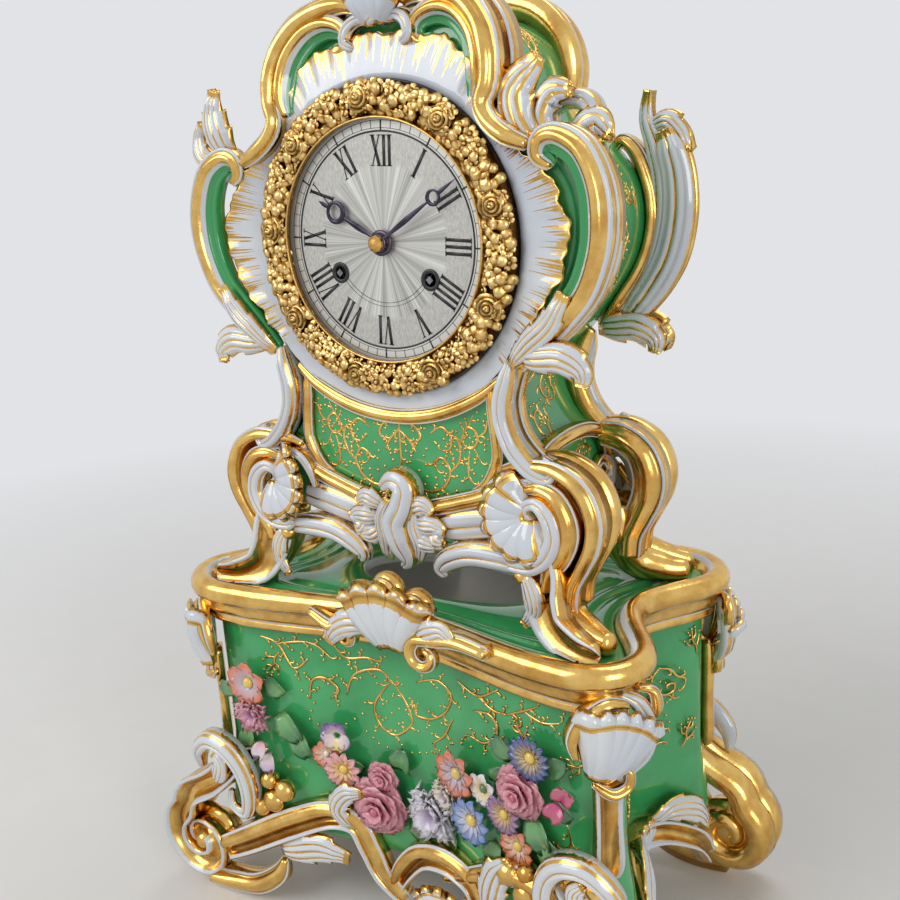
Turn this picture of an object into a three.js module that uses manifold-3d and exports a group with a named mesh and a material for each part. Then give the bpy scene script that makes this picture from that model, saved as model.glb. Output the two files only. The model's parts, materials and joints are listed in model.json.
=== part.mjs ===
// A porcelain mantel clock on its porcelain stand, as an assembly of separate pieces.
// Millimetres, Z up. The origin is on the table under the middle of the stand, X runs to the viewer's
// right and Y runs from the front of the clock to its back.
import * as THREE from "three";
import { mergeVertices } from "three/addons/utils/BufferGeometryUtils.js";
import Module from "manifold-3d";

const wasm = await Module();
wasm.setup();

// Driving dimensions

const seat = 0.3; // the gap left between two pieces that touch
const farOut = 400; // beyond the clock, for a block that takes away all there is on one side

// Stand
const standHeight = 150; // table to the green top that carries the clock
const planFrontX = 80; // where the front edge of the rim ends and its round corner begins
const planSideY = 39; // where the side edge of the rim ends and its round corner begins
const planFrontMiddle = 50; // half depth of the rim in the middle of the front
const planFrontBulge = 12; // how much deeper the rim is beside the corners
const planSideMiddle = 87; // half width of the rim in the middle of the side
const planSideBulge = 18; // how much wider the rim is at the corners
const bodyInset = 11; // from the rim's edge in to the body
const standWall = 5;
const standBottom = 38; // table to the lower edge of the body
const rimHeight = 20;
const rimProud = 5; // how far the rim stands above the green top
const ovalHalfX = 43;
const ovalHalfY = 21;
const footReachX = 118; // to the middle of the band on the outside of a foot's volute
const footY = 59;
const volute = 14; // radius of the volute of a foot, to the middle of its band
const footBand = 6.5; // half width of the band of a foot
const apronBand = 4.6;
const pilasterHeight = 62;
const shellHeight = 30;
const shellWidth = 46;

// Clock case
const dialAboveSoles = 140;
const caseFront = -30;
const caseDepth = 58;
const caseWall = 5;
const waistHalf = 44;
const waistDrop = 57; // from the dial's centre down to the middle of the waist
const baseHalf = 56;
const caseHalf = { top: 78, shoulder: 47, notch: 40, side: 76, waist: waistHalf, base: baseHalf };
const leanFrom = 34; // above the dial's centre by this much, the front leans back
const lean = 0.22; // millimetres back for each millimetre up
const caseSteps = 30; // straight pieces in each half of the case's outline
const baseDrop = 104; // from the dial's centre down to the lower edge of the case
const holeRadius = 46;
const crestRise = 95; // from the dial's centre up to the top of the crest
const crestThick = 10;
const wingBand = 6;
const legBand = 11;
const surroundRadius = 64.5;
const surroundSides = 32;
const surroundThick = 3;

// Movement, in the plane of the dial from its centre
const dialTurn = 3.3; // degrees that the movement sits turned in its case, clockwise
const bezelOuter = 56;
const bezelInner = 42.5;
const bezelProud = 8;
const dialRadius = 44.2;
const dialThick = 1.2;
const dialFront = 1.4; // the dial's face in front of the case's front face
const plateRadius = 41;
const plateThick = 1.8;
const frontPlateBack = 8.0; // the back of the front plate behind the case's front face
const backPlateFront = 34.0; // the front of the back plate behind the case's front face
const windingX = 20;
const windingDrop = 12;
const greatTeeth = 60;
const greatModule = 0.54;
const secondPinionLeaves = 10;
const secondTeeth = 56;
const centrePinionLeaves = 8;
const centreTeeth = 84;
const thirdPinionLeaves = 6;
const trainModule = 0.4;
const thirdTeeth = 78;
const escapePinionLeaves = 6;
const escapeModule = 0.36;
const escapeTeeth = 30;
const escapeRadius = 7.5;
const palletSpan = 36; // degrees from the top of the escape wheel to each pallet
const motionModule = 0.7;
const cannonLeaves = 10;
const minuteTeeth = 30;
const minutePinionLeaves = 8;
const hourTeeth = 32;
const pinWheelTeeth = 36;
const pinWheelModule = 0.48;
const flyLeaves = 6;
const barrelRadius = 14.3;
const barrelLength = 14.5;
const wheelThick = 1.2;
const arborRadius = 0.7;
const pendulumLength = 108;
const bobRadius = 15;
const bobThick = 8;
const bellRadius = 28;
const minuteHandLength = 40;
const hourHandLength = 31;
const doorRadius = 45;

// Finishes

const finish = (color, roughness, metalness) =>
  new THREE.MeshStandardMaterial({ color, roughness, metalness });
const greenGlaze = finish(0x3f9f55, 0.12, 0);
const whiteGlaze = finish(0xf2ede2, 0.15, 0);
const giltGlaze = finish(0xc99a3c, 0.25, 0.9);
const roseGlaze = finish(0xd98aa0, 0.2, 0);
const giltBrass = finish(0xc8993f, 0.3, 1);
const brass = finish(0xb98d3e, 0.35, 1);
const silvered = finish(0xc9c6bd, 0.45, 0.8);
const blued = finish(0x1c2a44, 0.3, 1);
const steel = finish(0x9a9ea2, 0.3, 1);
const bellMetal = finish(0xa8905c, 0.3, 1);

// Solids from three.js geometry

const radians = THREE.MathUtils.degToRad;
const point = (x, y, z) => new THREE.Vector3(x, y, z);

// A closed three.js geometry as a solid whose faces point outwards.
function solid(geometry) {
  const bare = geometry.clone();
  bare.deleteAttribute("normal");
  bare.deleteAttribute("uv");
  const merged = mergeVertices(bare, 1e-3);
  const corners = merged.index.array;
  const triVerts = new Uint32Array(corners.length);
  let used = 0;
  for (let i = 0; i < corners.length; i += 3) {
    const [a, b, c] = [corners[i], corners[i + 1], corners[i + 2]];
    if (a === b || b === c || c === a) continue;
    triVerts.set([a, b, c], used);
    used += 3;
  }
  const vertProperties = merged.attributes.position.array;
  const build = (triangles) =>
    new wasm.Manifold(new wasm.Mesh({ numProp: 3, vertProperties, triVerts: triangles }));
  const made = build(triVerts.slice(0, used));
  if (made.volume() >= 0) return made;
  return build(triVerts.slice(0, used).reverse());
}

const join = (...solids) => solids.reduce((all, next) => all.add(next));
const cut = (from, ...tools) => tools.reduce((left, tool) => left.subtract(tool), from);

// The mirror image of a solid in the plane x = 0.
const mirrorX = (body) => body.mirror([1, 0, 0]);

// A ring of points round a centre, as a closed outline.
function circle(radius, sides, x = 0, y = 0, turn = 0) {
  return Array.from({ length: sides }, (_, i) => {
    const angle = turn + (i * 2 * Math.PI) / sides;
    return new THREE.Vector2(x + radius * Math.cos(angle), y + radius * Math.sin(angle));
  });
}

function outline(points, holes = []) {
  const shape = new THREE.Shape(points);
  shape.holes = holes.map((hole) => new THREE.Path(hole));
  return shape;
}

// A flat shape drawn in the plane of the dial (x right, y up), from yFront back to yBack.
function slab(shape, yFront, yBack, bevel = 0) {
  const geometry = new THREE.ExtrudeGeometry(shape, {
    depth: yBack - yFront - 2 * bevel,
    steps: 1,
    bevelEnabled: bevel > 0,
    bevelThickness: bevel,
    bevelSize: bevel,
    bevelOffset: -bevel,
    bevelSegments: 1,
  });
  return solid(geometry.rotateX(Math.PI / 2).translate(0, yBack - bevel, 0));
}

// A flat shape drawn in plan (x right, y back), from zLow up to zHigh.
function layer(shape, zLow, zHigh, bevel = 0, rounds = 1) {
  const geometry = new THREE.ExtrudeGeometry(shape, {
    depth: zHigh - zLow - 2 * bevel,
    steps: 1,
    bevelEnabled: bevel > 0,
    bevelThickness: bevel,
    bevelSize: bevel,
    bevelOffset: -bevel,
    bevelSegments: rounds,
  });
  return solid(geometry.translate(0, 0, zLow + bevel));
}

// A body turned about an axis that runs along Y through (x, z). The profile is [radius, y] from the
// front to the back, or a closed ring of such points.
function turnedAlongY(profile, sides, x = 0, z = 0) {
  const points = profile.map(([radius, y]) => new THREE.Vector2(radius, y));
  return solid(new THREE.LatheGeometry(points, sides).translate(x, 0, z));
}

function rod(radius, yFront, yBack, sides, x = 0, z = 0) {
  return turnedAlongY([[0, yFront], [radius, yFront], [radius, yBack], [0, yBack]], sides, x, z);
}

function ringAlongY(inner, outer, yFront, yBack, sides, x = 0, z = 0) {
  const profile = [[inner, yFront], [outer, yFront], [outer, yBack], [inner, yBack], [inner, yFront]];
  return turnedAlongY(profile, sides, x, z);
}

function block(x0, x1, y0, y1, z0, z1) {
  const geometry = new THREE.BoxGeometry(x1 - x0, y1 - y0, z1 - z0);
  return solid(geometry.translate((x0 + x1) / 2, (y0 + y1) / 2, (z0 + z1) / 2));
}

function ball(x, y, z, rx, ry, rz, sides = 8) {
  const geometry = new THREE.SphereGeometry(1, sides, Math.max(4, sides / 2));
  return solid(geometry.scale(rx, ry, rz).translate(x, y, z));
}

// A scroll: a band along a smooth curve through the points, each [x, y, z, share of the full width].
// The straight extrusion of a round section is laid along the curve, wide where the share is large.
// The band is halfWide across the curve in its own plane and halfDeep along the plane's normal.
function scroll(points, halfWide, halfDeep, steps = 10, sides = 6, normal = point(0, 1, 0)) {
  const places = points.map(([x, y, z]) => point(x, y, z));
  const curve = new THREE.CatmullRomCurve3(places, false, "centripetal");
  const section = new THREE.Shape(circle(1, sides, 0, 0, Math.PI / sides));
  const geometry = new THREE.ExtrudeGeometry(section, { depth: 1, steps, bevelEnabled: false });
  const position = geometry.attributes.position;
  for (let i = 0; i < position.count; i++) {
    const t = Math.min(1, Math.max(0, position.getZ(i)));
    const along01 = t * (points.length - 1);
    const before = Math.min(points.length - 2, Math.floor(along01));
    const share = THREE.MathUtils.lerp(points[before][3], points[before + 1][3], along01 - before);
    const along = curve.getTangent(t);
    const across = point(0, 0, 0).crossVectors(along, normal).normalize();
    const deep = point(0, 0, 0).crossVectors(across, along).normalize();
    const at = curve
      .getPoint(t)
      .addScaledVector(across, position.getX(i) * halfWide * share)
      .addScaledVector(deep, position.getY(i) * halfDeep * share);
    position.setXYZ(i, at.x, at.y, at.z);
  }
  return solid(geometry);
}

const group = new THREE.Group();
const stand = new THREE.Group();
const clock = new THREE.Group();
const movement = new THREE.Group();
group.add(stand, clock);
clock.add(movement);

// Adds a solid to a group as one named mesh.
function piece(parent, name, body, material) {
  const { vertProperties, triVerts } = body.getMesh();
  const geometry = new THREE.BufferGeometry();
  geometry.setAttribute("position", new THREE.BufferAttribute(vertProperties, 3));
  geometry.setIndex(new THREE.BufferAttribute(triVerts, 1));
  geometry.computeVertexNormals();
  const mesh = new THREE.Mesh(geometry, material);
  mesh.name = name;
  parent.add(mesh);
}

// Stand

// The rim's edge is a cartouche: four sides that draw in towards their middles, and round corners.
const swell = (share) => Math.sin((Math.PI / 2) * share) ** 2;
const frontEdge = (x) => planFrontMiddle + planFrontBulge * swell(Math.abs(x) / planFrontX);
const sideEdge = (y) => planSideMiddle + planSideBulge * swell(Math.abs(y) / planSideY);
const bodyFront = (x) => -(frontEdge(x) - bodyInset) - seat;

function planOutline(inset) {
  const fronts = 4;
  const ends = 4;
  const flanks = 3;
  const cornerX = planSideMiddle + planSideBulge - planFrontX;
  const cornerY = planFrontMiddle + planFrontBulge - planSideY;
  const quarter = [];
  for (let i = 0; i < fronts; i++) {
    const x = (planFrontX * i) / fronts;
    quarter.push([x, -frontEdge(x)]);
  }
  for (let i = 0; i <= ends; i++) {
    const angle = -Math.PI / 2 + (i * Math.PI) / 2 / ends;
    quarter.push([planFrontX + cornerX * Math.cos(angle), -planSideY + cornerY * Math.sin(angle)]);
  }
  for (let i = 1; i < flanks; i++) {
    const y = planSideY * (1 - i / flanks);
    quarter.push([sideEdge(y), -y]);
  }
  const half = [...quarter, [sideEdge(0), 0], ...quarter.slice(1).reverse().map(([x, y]) => [x, -y])];
  const backMiddle = [0, frontEdge(0)];
  const whole = [...half, backMiddle, ...half.slice(1).reverse().map(([x, y]) => [-x, y])];
  const count = whole.length;
  return whole.map(([x, y], i) => {
    const [ax, ay] = whole[(i + count - 1) % count];
    const [bx, by] = whole[(i + 1) % count];
    const length = Math.hypot(bx - ax, by - ay);
    return new THREE.Vector2(x - ((by - ay) / length) * inset, y + ((bx - ax) / length) * inset);
  });
}

const ovalOutline = circle(1, 20).map((p) => new THREE.Vector2(p.x * ovalHalfX, p.y * ovalHalfY));
const skirtTop = standBottom + 22;
const standBody = cut(
  join(
    layer(outline(planOutline(bodyInset)), skirtTop - 6, standHeight),
    layer(outline(planOutline(bodyInset - 4)), standBottom, skirtTop, 3),
  ),
  layer(outline(planOutline(bodyInset + standWall)), standBottom - 1, standHeight - standWall),
  layer(outline(ovalOutline), standHeight - standWall - 1, standHeight + 1),
);
piece(stand, "stand_body", standBody, greenGlaze);

const rimLow = standHeight + rimProud - rimHeight;
const stepInset = 5;
const standRim = cut(
  join(
    layer(outline(planOutline(0)), rimLow + rimHeight * 0.45, standHeight + rimProud, 3),
    layer(outline(planOutline(stepInset)), rimLow, rimLow + rimHeight * 0.5),
  ),
  layer(outline(planOutline(bodyInset - seat)), rimLow - 1, standHeight + rimProud + 1),
);
piece(stand, "stand_rim", standRim, giltGlaze);
const belowTable = block(-farOut, farOut, -farOut, farOut, -farOut, 0);

// What an ornament of the stand is cut back to, so that it sits on the body and under the rim.
const bodyCutter = join(
  layer(outline(planOutline(bodyInset - seat)), skirtTop - 8, standHeight + 40),
  layer(outline(planOutline(bodyInset - 4 - seat)), standBottom - seat, skirtTop + seat),
);
const rimCutter = layer(outline(planOutline(-seat)), rimLow - seat, standHeight + rimProud + seat);

// A foot: the band comes down from the body's corner and rolls up into a volute on the table.
const footCentreX = footReachX - volute;
const footCentreZ = volute + footBand - 2.5;
function footSpine(depth) {
  const y = depth * footY;
  return [
    [planFrontX - 2, y * 0.82, skirtTop + 26, 0.45],
    [planFrontX + 4, y * 0.94, skirtTop + 6, 0.9],
    [footCentreX - 4, y, footCentreZ + volute + 6, 1.1],
    [footCentreX + 0.75 * volute, y, footCentreZ + 0.75 * volute, 1],
    [footCentreX + volute, y, footCentreZ, 1],
    [footCentreX + 0.6 * volute, y, footCentreZ - 0.85 * volute, 1],
    [footCentreX - 0.3 * volute, y, footCentreZ - volute, 1],
    [footCentreX - volute, y, footCentreZ - 0.25 * volute, 0.8],
    [footCentreX - 0.7 * volute, y, footCentreZ + 0.35 * volute, 0.6],
  ];
}
function footSolid(side, depth) {
  const y = depth * footY;
  const leaf = [
    [planFrontX + 8, y * 0.9, skirtTop - 6, 0.9],
    [planFrontX + 20, y * 0.88, skirtTop + 2, 0.8],
    [planFrontX + 24, y * 0.84, skirtTop + 12, 0.3],
  ];
  const tail = [
    [footCentreX - 0.2 * volute, y, footCentreZ - volute, 0.9], [footCentreX - 20, y * 0.97, 6, 0.9],
    [footCentreX - 35, y * 0.94, 11, 0.75], [footCentreX - 44, y * 0.92, 21, 0.5],
  ];
  const eye = ball(footCentreX, y, footCentreZ, volute * 0.75, footBand, volute * 0.75, 6);
  const foot = join(
    scroll(footSpine(depth), footBand, footBand + 3, 12, 6),
    scroll(tail, footBand, footBand, 5, 6),
    scroll(leaf, 4.5, 6, 4, 5),
    eye,
  );
  const made = cut(foot, bodyCutter, belowTable);
  return side < 0 ? mirrorX(made) : made;
}

const sides = [["left", -1], ["right", 1]];
const depths = [["front", -1], ["rear", 1]];
for (const [depthName, depth] of depths)
  for (const [sideName, side] of sides)
    piece(stand, `stand_foot_${depthName}_${sideName}`, footSolid(side, depth), giltGlaze);

// Aprons: scroll bands along the lower edge of the body, between the feet.
const onFront = (x, z, share, proud = 4) => [x, bodyFront(x) - proud, z, share];
function frontApron() {
  const left = [
    onFront(-88, 33, 0.8), onFront(-74, 40, 1), onFront(-52, 50, 1.1), onFront(-32, 52, 1),
    onFront(-24, 42, 0.9), onFront(-17, 26, 0.8), onFront(-4, 20, 0.6),
  ];
  const middle = [
    onFront(-10, 24, 0.7), onFront(2, 36, 1), onFront(16, 44, 1), onFront(26, 38, 0.9),
    onFront(22, 28, 0.7),
  ];
  const right = [
    onFront(22, 40, 0.7), onFront(40, 50, 1), onFront(58, 60, 1.1), onFront(72, 58, 1),
    onFront(80, 44, 0.9), onFront(89, 34, 0.7),
  ];
  return join(
    scroll(left, apronBand, 5, 9, 5),
    scroll(middle, apronBand, 5, 6, 5),
    scroll(right, apronBand, 5, 8, 5),
  );
}
const feetCutter = (side, depth) => {
  const y = depth * footY;
  return block(side > 0 ? 90 : -farOut, side > 0 ? farOut : -90, y - 30, y + 30, -1, skirtTop + 40);
};
const allFeet = sides.flatMap(([, side]) => depths.map(([, depth]) => feetCutter(side, depth)));
const frontApronSolid = cut(frontApron(), bodyCutter, ...allFeet);
piece(stand, "stand_front_apron", frontApronSolid, giltGlaze);
piece(stand, "stand_rear_apron", frontApronSolid.mirror([0, 1, 0]), giltGlaze);

function sideApron() {
  const x = (y) => sideEdge(y) - bodyInset + seat + 4;
  const spine = [
    [x(34), -34, 30, 0.7], [x(24), -24, 40, 1], [x(8), -8, 50, 1.1],
    [x(8), 8, 50, 1.1], [x(24), 24, 40, 1], [x(34), 34, 30, 0.7],
  ];
  return cut(scroll(spine, apronBand, 5, 10, 6, point(1, 0, 0)), bodyCutter, ...allFeet);
}
piece(stand, "stand_right_apron", sideApron(), giltGlaze);
piece(stand, "stand_left_apron", mirrorX(sideApron()), giltGlaze);

// The band of a foot with its clearance, on the right.
function feetBand(depth) {
  return scroll(footSpine(depth), footBand + seat, footBand + 3 + seat, 12, 6);
}

// A pilaster with its shell bracket at each corner, under the rim.
function pilaster(side, depth) {
  const x = planFrontX + 12;
  const y = depth * (planSideY + 10);
  const low = rimLow - pilasterHeight;
  const spine = [
    [x - 1, y, low, 0.5], [x, y * 1.02, low + 8, 0.8], [x + 1, y * 1.03, low + 26, 0.65],
    [x + 1, y * 1.03, low + 38, 0.75], [x + 3, y * 1.06, low + 50, 1.05],
    [x + 4, y * 1.08, rimLow + 3, 1.1],
  ];
  const out = point(1, depth, 0).normalize();
  const made = cut(scroll(spine, 9, 7, 7, 6, out), bodyCutter, rimCutter, feetBand(depth));
  return side < 0 ? mirrorX(made) : made;
}
for (const [depthName, depth] of depths)
  for (const [sideName, side] of sides)
    piece(stand, `stand_pilaster_${depthName}_${sideName}`, pilaster(side, depth), whiteGlaze);

// The fan-shaped shell on the front of the rim, with its two short scrolls.
function frontShell() {
  const low = rimLow + 2;
  const fan = [new THREE.Vector2(-4, low)];
  for (let i = 0; i <= 10; i++) {
    const angle = radians(165 - i * 15);
    const reach = i % 2 ? 1.04 : 0.95;
    fan.push(new THREE.Vector2(
      Math.cos(angle) * (shellWidth / 2) * reach,
      low + 6 + Math.sin(angle) * (shellHeight - 6) * reach,
    ));
  }
  fan.push(new THREE.Vector2(4, low));
  const yBack = -frontEdge(0) + 3;
  const plate = slab(outline(fan.reverse()), yBack - 9, yBack, 2);
  const curl = (side) => scroll([
    [side * 6, yBack - 5, low + 3, 0.8], [side * 18, yBack - 5, low - 1, 1],
    [side * 30, yBack - 6, low + 5, 1], [side * 34, yBack - 6, low + 13, 0.6],
  ], 3.5, 4, 5, 5);
  return cut(join(plate, curl(-1), curl(1)), rimCutter);
}
piece(stand, "stand_front_shell", frontShell(), whiteGlaze);

// Applied flowers: a stem with blossoms standing on it, each [x, z, radius] on the stand's front.
function spray(stems, blossoms) {
  const stemSolids = stems.map((stem) =>
    scroll(stem.map(([x, z]) => onFront(x, z, 1, 1.5)), 3.2, 2.6, 4, 4));
  const flowerSolids = blossoms.map(([x, z, radius]) => {
    const back = bodyFront(x) + 2;
    const profile = [
      [0, back], [radius * 0.85, back], [radius, back - 4.5], [0, back - 4.5 - radius * 0.55],
    ];
    return turnedAlongY(profile, 6, x, z);
  });
  return cut(join(...stemSolids, ...flowerSolids), bodyCutter, frontApronCutter);
}
const frontApronCutter = block(-90, 90, -100, -30, 0, skirtTop - 10);
const leftSpray = spray(
  [[[-74, 110], [-70, 92], [-60, 84], [-48, 92]], [[-70, 96], [-66, 82], [-62, 72]]],
  [[-72, 106, 8], [-70, 91, 8], [-64, 77, 5], [-50, 92, 6]],
);
piece(stand, "stand_left_flowers", leftSpray, roseGlaze);
const roseSpray = spray(
  [
    [[-38, 86], [-28, 76], [-12, 66], [12, 70], [36, 76], [58, 92], [78, 102]],
    [[58, 92], [64, 104], [66, 116]], [[44, 80], [56, 74], [66, 78]],
    [[20, 74], [30, 88], [43, 90], [53, 84]], [[36, 76], [48, 76], [58, 74]],
  ],
  [
    [-38, 86, 7], [-28, 76, 7], [-12, 68, 14], [14, 72, 12], [30, 88, 8], [43, 90, 6], [38, 75, 7],
    [53, 84, 7], [60, 98, 11], [65, 115, 6], [77, 102, 5], [58, 74, 6],
  ],
);
piece(stand, "stand_rose_spray", roseSpray, roseGlaze);

// Clock case. Its own frame has the dial's centre at x = 0, z = 0 and the soles at -dialAboveSoles.

clock.position.z = standHeight + seat + dialAboveSoles;
const caseBack = caseFront + caseDepth;

// The front outline: a domed head, a shoulder on each side, a waist and a wider base.
function caseOutline(grow) {
  const { top, shoulder, notch, side, waist, base } = caseHalf;
  const bend = [
    [0, top], [20, top - 1], [shoulder * 0.74, top - 6], [shoulder * 0.94, top - 15],
    [shoulder, top - 26], [shoulder + 1, notch + 4], [shoulder + 7, notch - 5], [side - 12, notch - 10],
    [side - 4, notch - 19], [side, 10], [side, -2], [side - 4, -14], [side - 12, -26], [waist + 11, -37],
    [waist + 3, -46], [waist, -waistDrop], [waist + 4, -waistDrop - 11], [base, -waistDrop - 20],
  ].map(([x, z]) => new THREE.Vector2(x, z));
  const line = new THREE.SplineCurve(bend).getPoints(caseSteps);
  const right = [...line, new THREE.Vector2(base, -baseDrop)];
  const left = right.slice(1).reverse().map((p) => new THREE.Vector2(-p.x, p.y));
  const whole = [...right, ...left];
  const count = whole.length;
  const grown = whole.map((p, i) => {
    const before = whole[(i + count - 1) % count];
    const after = whole[(i + 1) % count];
    const along = after.clone().sub(before).normalize();
    return new THREE.Vector2(p.x - along.y * grow, p.y + along.x * grow);
  });
  return grown.reverse();
}

// Leans the front of a solid back above the dial, from a level cut, so that its faces stay flat.
function leanBack(body) {
  const above = block(-farOut, farOut, -farOut, farOut, leanFrom, farOut);
  const head = body.intersect(above).warp((vertex) => {
    if (vertex[1] < 0) vertex[1] += (vertex[2] - leanFrom) * lean;
  });
  return join(cut(body, above), head);
}

const casePlain = leanBack(slab(outline(caseOutline(0)), caseFront, caseBack, 2));
const hollow = leanBack(
  slab(outline(caseOutline(-caseWall)), caseFront + caseWall, caseBack - caseWall),
);
const hollowBelow = block(
  -baseHalf + caseWall, baseHalf - caseWall, caseFront + caseWall, caseBack - caseWall,
  -baseDrop - 1, -baseDrop + 2 * caseWall,
);
const dialHole = rod(holeRadius, caseFront - 1, caseBack + 1, 32);
const caseShell = cut(casePlain, hollow, hollowBelow, dialHole);
piece(clock, "case_shell", caseShell, greenGlaze);

// What an ornament of the case is cut back to, so that it sits on the outside of the case.
const caseCutter = leanBack(slab(outline(caseOutline(seat)), caseFront - seat, caseBack + seat));
const soles = block(-farOut, farOut, -farOut, farOut, -farOut, -dialAboveSoles);

// A crest frames the head of the case at the front, another at the back. The dial's surround, with its
// clearance, is cut out of the one at the front.
const surroundReach = (angle) =>
  surroundRadius + 6 * Math.cos(2 * angle) + 4 * Math.max(0, Math.sin(angle));
function surroundOutline(grow, waves) {
  return circle(1, surroundSides).map((p, i) => {
    const reach = surroundReach((i * 2 * Math.PI) / surroundSides) + grow + (i % 2 ? waves : 0);
    return new THREE.Vector2(p.x * reach, p.y * reach);
  });
}
const surroundCutter = slab(outline(surroundOutline(1 + seat, 0)), caseFront - 20, caseBack + 20);
function crest(yFront, yBack) {
  const right = [
    [0, crestRise], [7, crestRise - 2], [12, crestRise - 8], [20, crestRise - 10], [30, crestRise - 11],
    [40, crestRise - 17], [48, crestRise - 26], [52, crestRise - 38], [53, crestRise - 48],
    [48, crestRise - 56], [36, crestRise - 46],
  ].map(([x, z]) => new THREE.Vector2(x, z));
  const left = right.slice(1).reverse().map((p) => new THREE.Vector2(-p.x, p.y));
  const plate = slab(outline([...left, ...right, new THREE.Vector2(0, 50)].reverse()), yFront, yBack, 2);
  return cut(plate, caseCutter, surroundCutter);
}
piece(clock, "front_crest", crest(caseFront - 1, caseFront + crestThick + 5), whiteGlaze);
piece(clock, "rear_crest", crest(caseBack - 2, caseBack + crestThick - 4), whiteGlaze);

// A wing on each shoulder of the case: a long C-scroll, a leaf at its top and a curl at its foot.
function wing(side, rear) {
  const y = rear ? caseBack + 1 : caseFront - 1;
  const wide = rear ? 5 : 0;
  const x = caseHalf.side;
  const scrollBand = [
    [x - 12, y, 25, 0.5], [x - 12, y, 31, 0.9], [x - 4, y, 31, 1], [x + 5 + wide, y, 22, 1.15],
    [x + 8 + wide, y, 6, 1.2], [x + 5 + wide, y, -8, 1.1], [x - 4, y, -22, 1], [x - 16, y, -34, 0.9],
    [x - 26, y, -44, 0.5],
  ];
  const leaf = [
    [x - 6, y, 34, 1], [x, y, 44, 1.1], [x + wide, y, 52, 0.9], [x + 3 + wide, y, 59, 0.25],
  ];
  const curl = [[x - 12, y, -28, 0.8], [x - 4, y, -34, 1], [x + 4, y, -36, 0.9], [x + 8, y, -41, 0.5]];
  const made = cut(
    join(
      scroll(scrollBand, wingBand, wingBand + 1, 12, 5),
      scroll(leaf, 6, 5, 4, 5),
      scroll(curl, 4.5, 5, 4, 5),
    ),
    caseCutter,
    surroundCutter,
  );
  return side < 0 ? mirrorX(made) : made;
}

// A leg: a broad scroll from the base of the case down to a toe that points outwards.
function leg(side, rear) {
  const front = rear ? -1 : 1;
  const y = rear ? caseBack - 4 : caseFront + 4;
  const out = (amount) => y - front * amount;
  const low = -dialAboveSoles;
  const spine = [
    [baseHalf - 4, y, low + 72, 0.5], [baseHalf + 7, out(0), low + 62, 0.8],
    [baseHalf + 15, out(1), low + 50, 1], [baseHalf + 14, out(2), low + 36, 1],
    [baseHalf + 9, out(3), low + 24, 1], [baseHalf + 14, out(7), low + 11, 0.75],
    [baseHalf + 24, out(12), low + 3, 0.5],
  ];
  const made = cut(
    join(
      scroll(spine, legBand, 9, 9, 6),
      ball(baseHalf + 20, out(7), low + 3, 13, 8, 8, 6),
      ball(baseHalf + 14, out(3), low + 47, 16, 9, 16, 8),
    ),
    caseCutter,
    soles,
  );
  return side < 0 ? mirrorX(made) : made;
}
for (const [depthName, depth] of depths)
  for (const [sideName, side] of sides) {
    piece(clock, `${depthName}_${sideName}_wing`, wing(side, depth > 0), whiteGlaze);
    piece(clock, `${depthName}_${sideName}_leg`, leg(side, depth > 0), giltGlaze);
  }

// The garland that hangs between the front legs.
const garlandY = caseFront - 1;
const garland = cut(
  join(
    scroll([
      [-44, garlandY, -baseDrop + 4, 0.7], [-30, garlandY, -baseDrop + 2, 1],
      [-16, garlandY, -baseDrop - 4, 1.1], [0, garlandY, -baseDrop - 9, 1.2],
      [16, garlandY, -baseDrop - 4, 1.1], [30, garlandY, -baseDrop + 2, 1],
      [44, garlandY, -baseDrop + 4, 0.7],
    ], 6, 5, 10, 5),
    ball(0, garlandY, -baseDrop, 13, 6, 13, 6),
  ),
  caseCutter,
);
piece(clock, "front_garland", garland, giltGlaze);

// The white ruffle round the bezel
const surroundBack = caseFront - seat;
const surroundShape = outline(surroundOutline(0, 1), [circle(bezelOuter + seat, surroundSides)]);
const surround = slab(surroundShape, surroundBack - surroundThick, surroundBack);
piece(clock, "dial_surround", surround, whiteGlaze);

// Movement, turned a little in the case about the dial's centre.

movement.rotation.y = radians(dialTurn);
const dialFace = caseFront - dialFront;
const dialBack = dialFace + dialThick;
const frontPlate = [caseFront + frontPlateBack - plateThick, caseFront + frontPlateBack];
const backPlate = [caseFront + backPlateFront, caseFront + backPlateFront + plateThick];

// Where each arbor stands, from the pitch radii of the wheels that mesh.
const polar = ([x, z], distance, degrees) => [
  x + distance * Math.cos(radians(degrees)),
  z + distance * Math.sin(radians(degrees)),
];
const pitchSum = (a, b, module) => (module * (a + b)) / 2;
const centre = [0, 0];
const goingBarrel = [windingX, -windingDrop];
const strikeBarrel = [-windingX, -windingDrop];
const second = polar(goingBarrel, pitchSum(greatTeeth, secondPinionLeaves, greatModule), 97);
const secondModule = (2 * Math.hypot(...second)) / (secondTeeth + centrePinionLeaves);
const third = polar(centre, pitchSum(centreTeeth, thirdPinionLeaves, trainModule), 120);
const escapeReach = pitchSum(thirdTeeth, escapePinionLeaves, escapeModule);
const escape = [0, third[1] + Math.sqrt(escapeReach ** 2 - third[0] ** 2)];
const anchorArbor = [0, escape[1] + escapeRadius / Math.cos(radians(palletSpan))];
const pinArbor = polar(strikeBarrel, pitchSum(greatTeeth, secondPinionLeaves, greatModule), 110);
const flyArbor = polar(pinArbor, pitchSum(pinWheelTeeth, flyLeaves, pinWheelModule), 110);
const minuteArbor = [0, pitchSum(cannonLeaves, minuteTeeth, motionModule)];
const hammerArbor = [-38, 4];
const bearing = arborRadius + seat;

const bearingOf = (from, to) => Math.atan2(to[1] - from[1], to[0] - from[0]);

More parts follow.
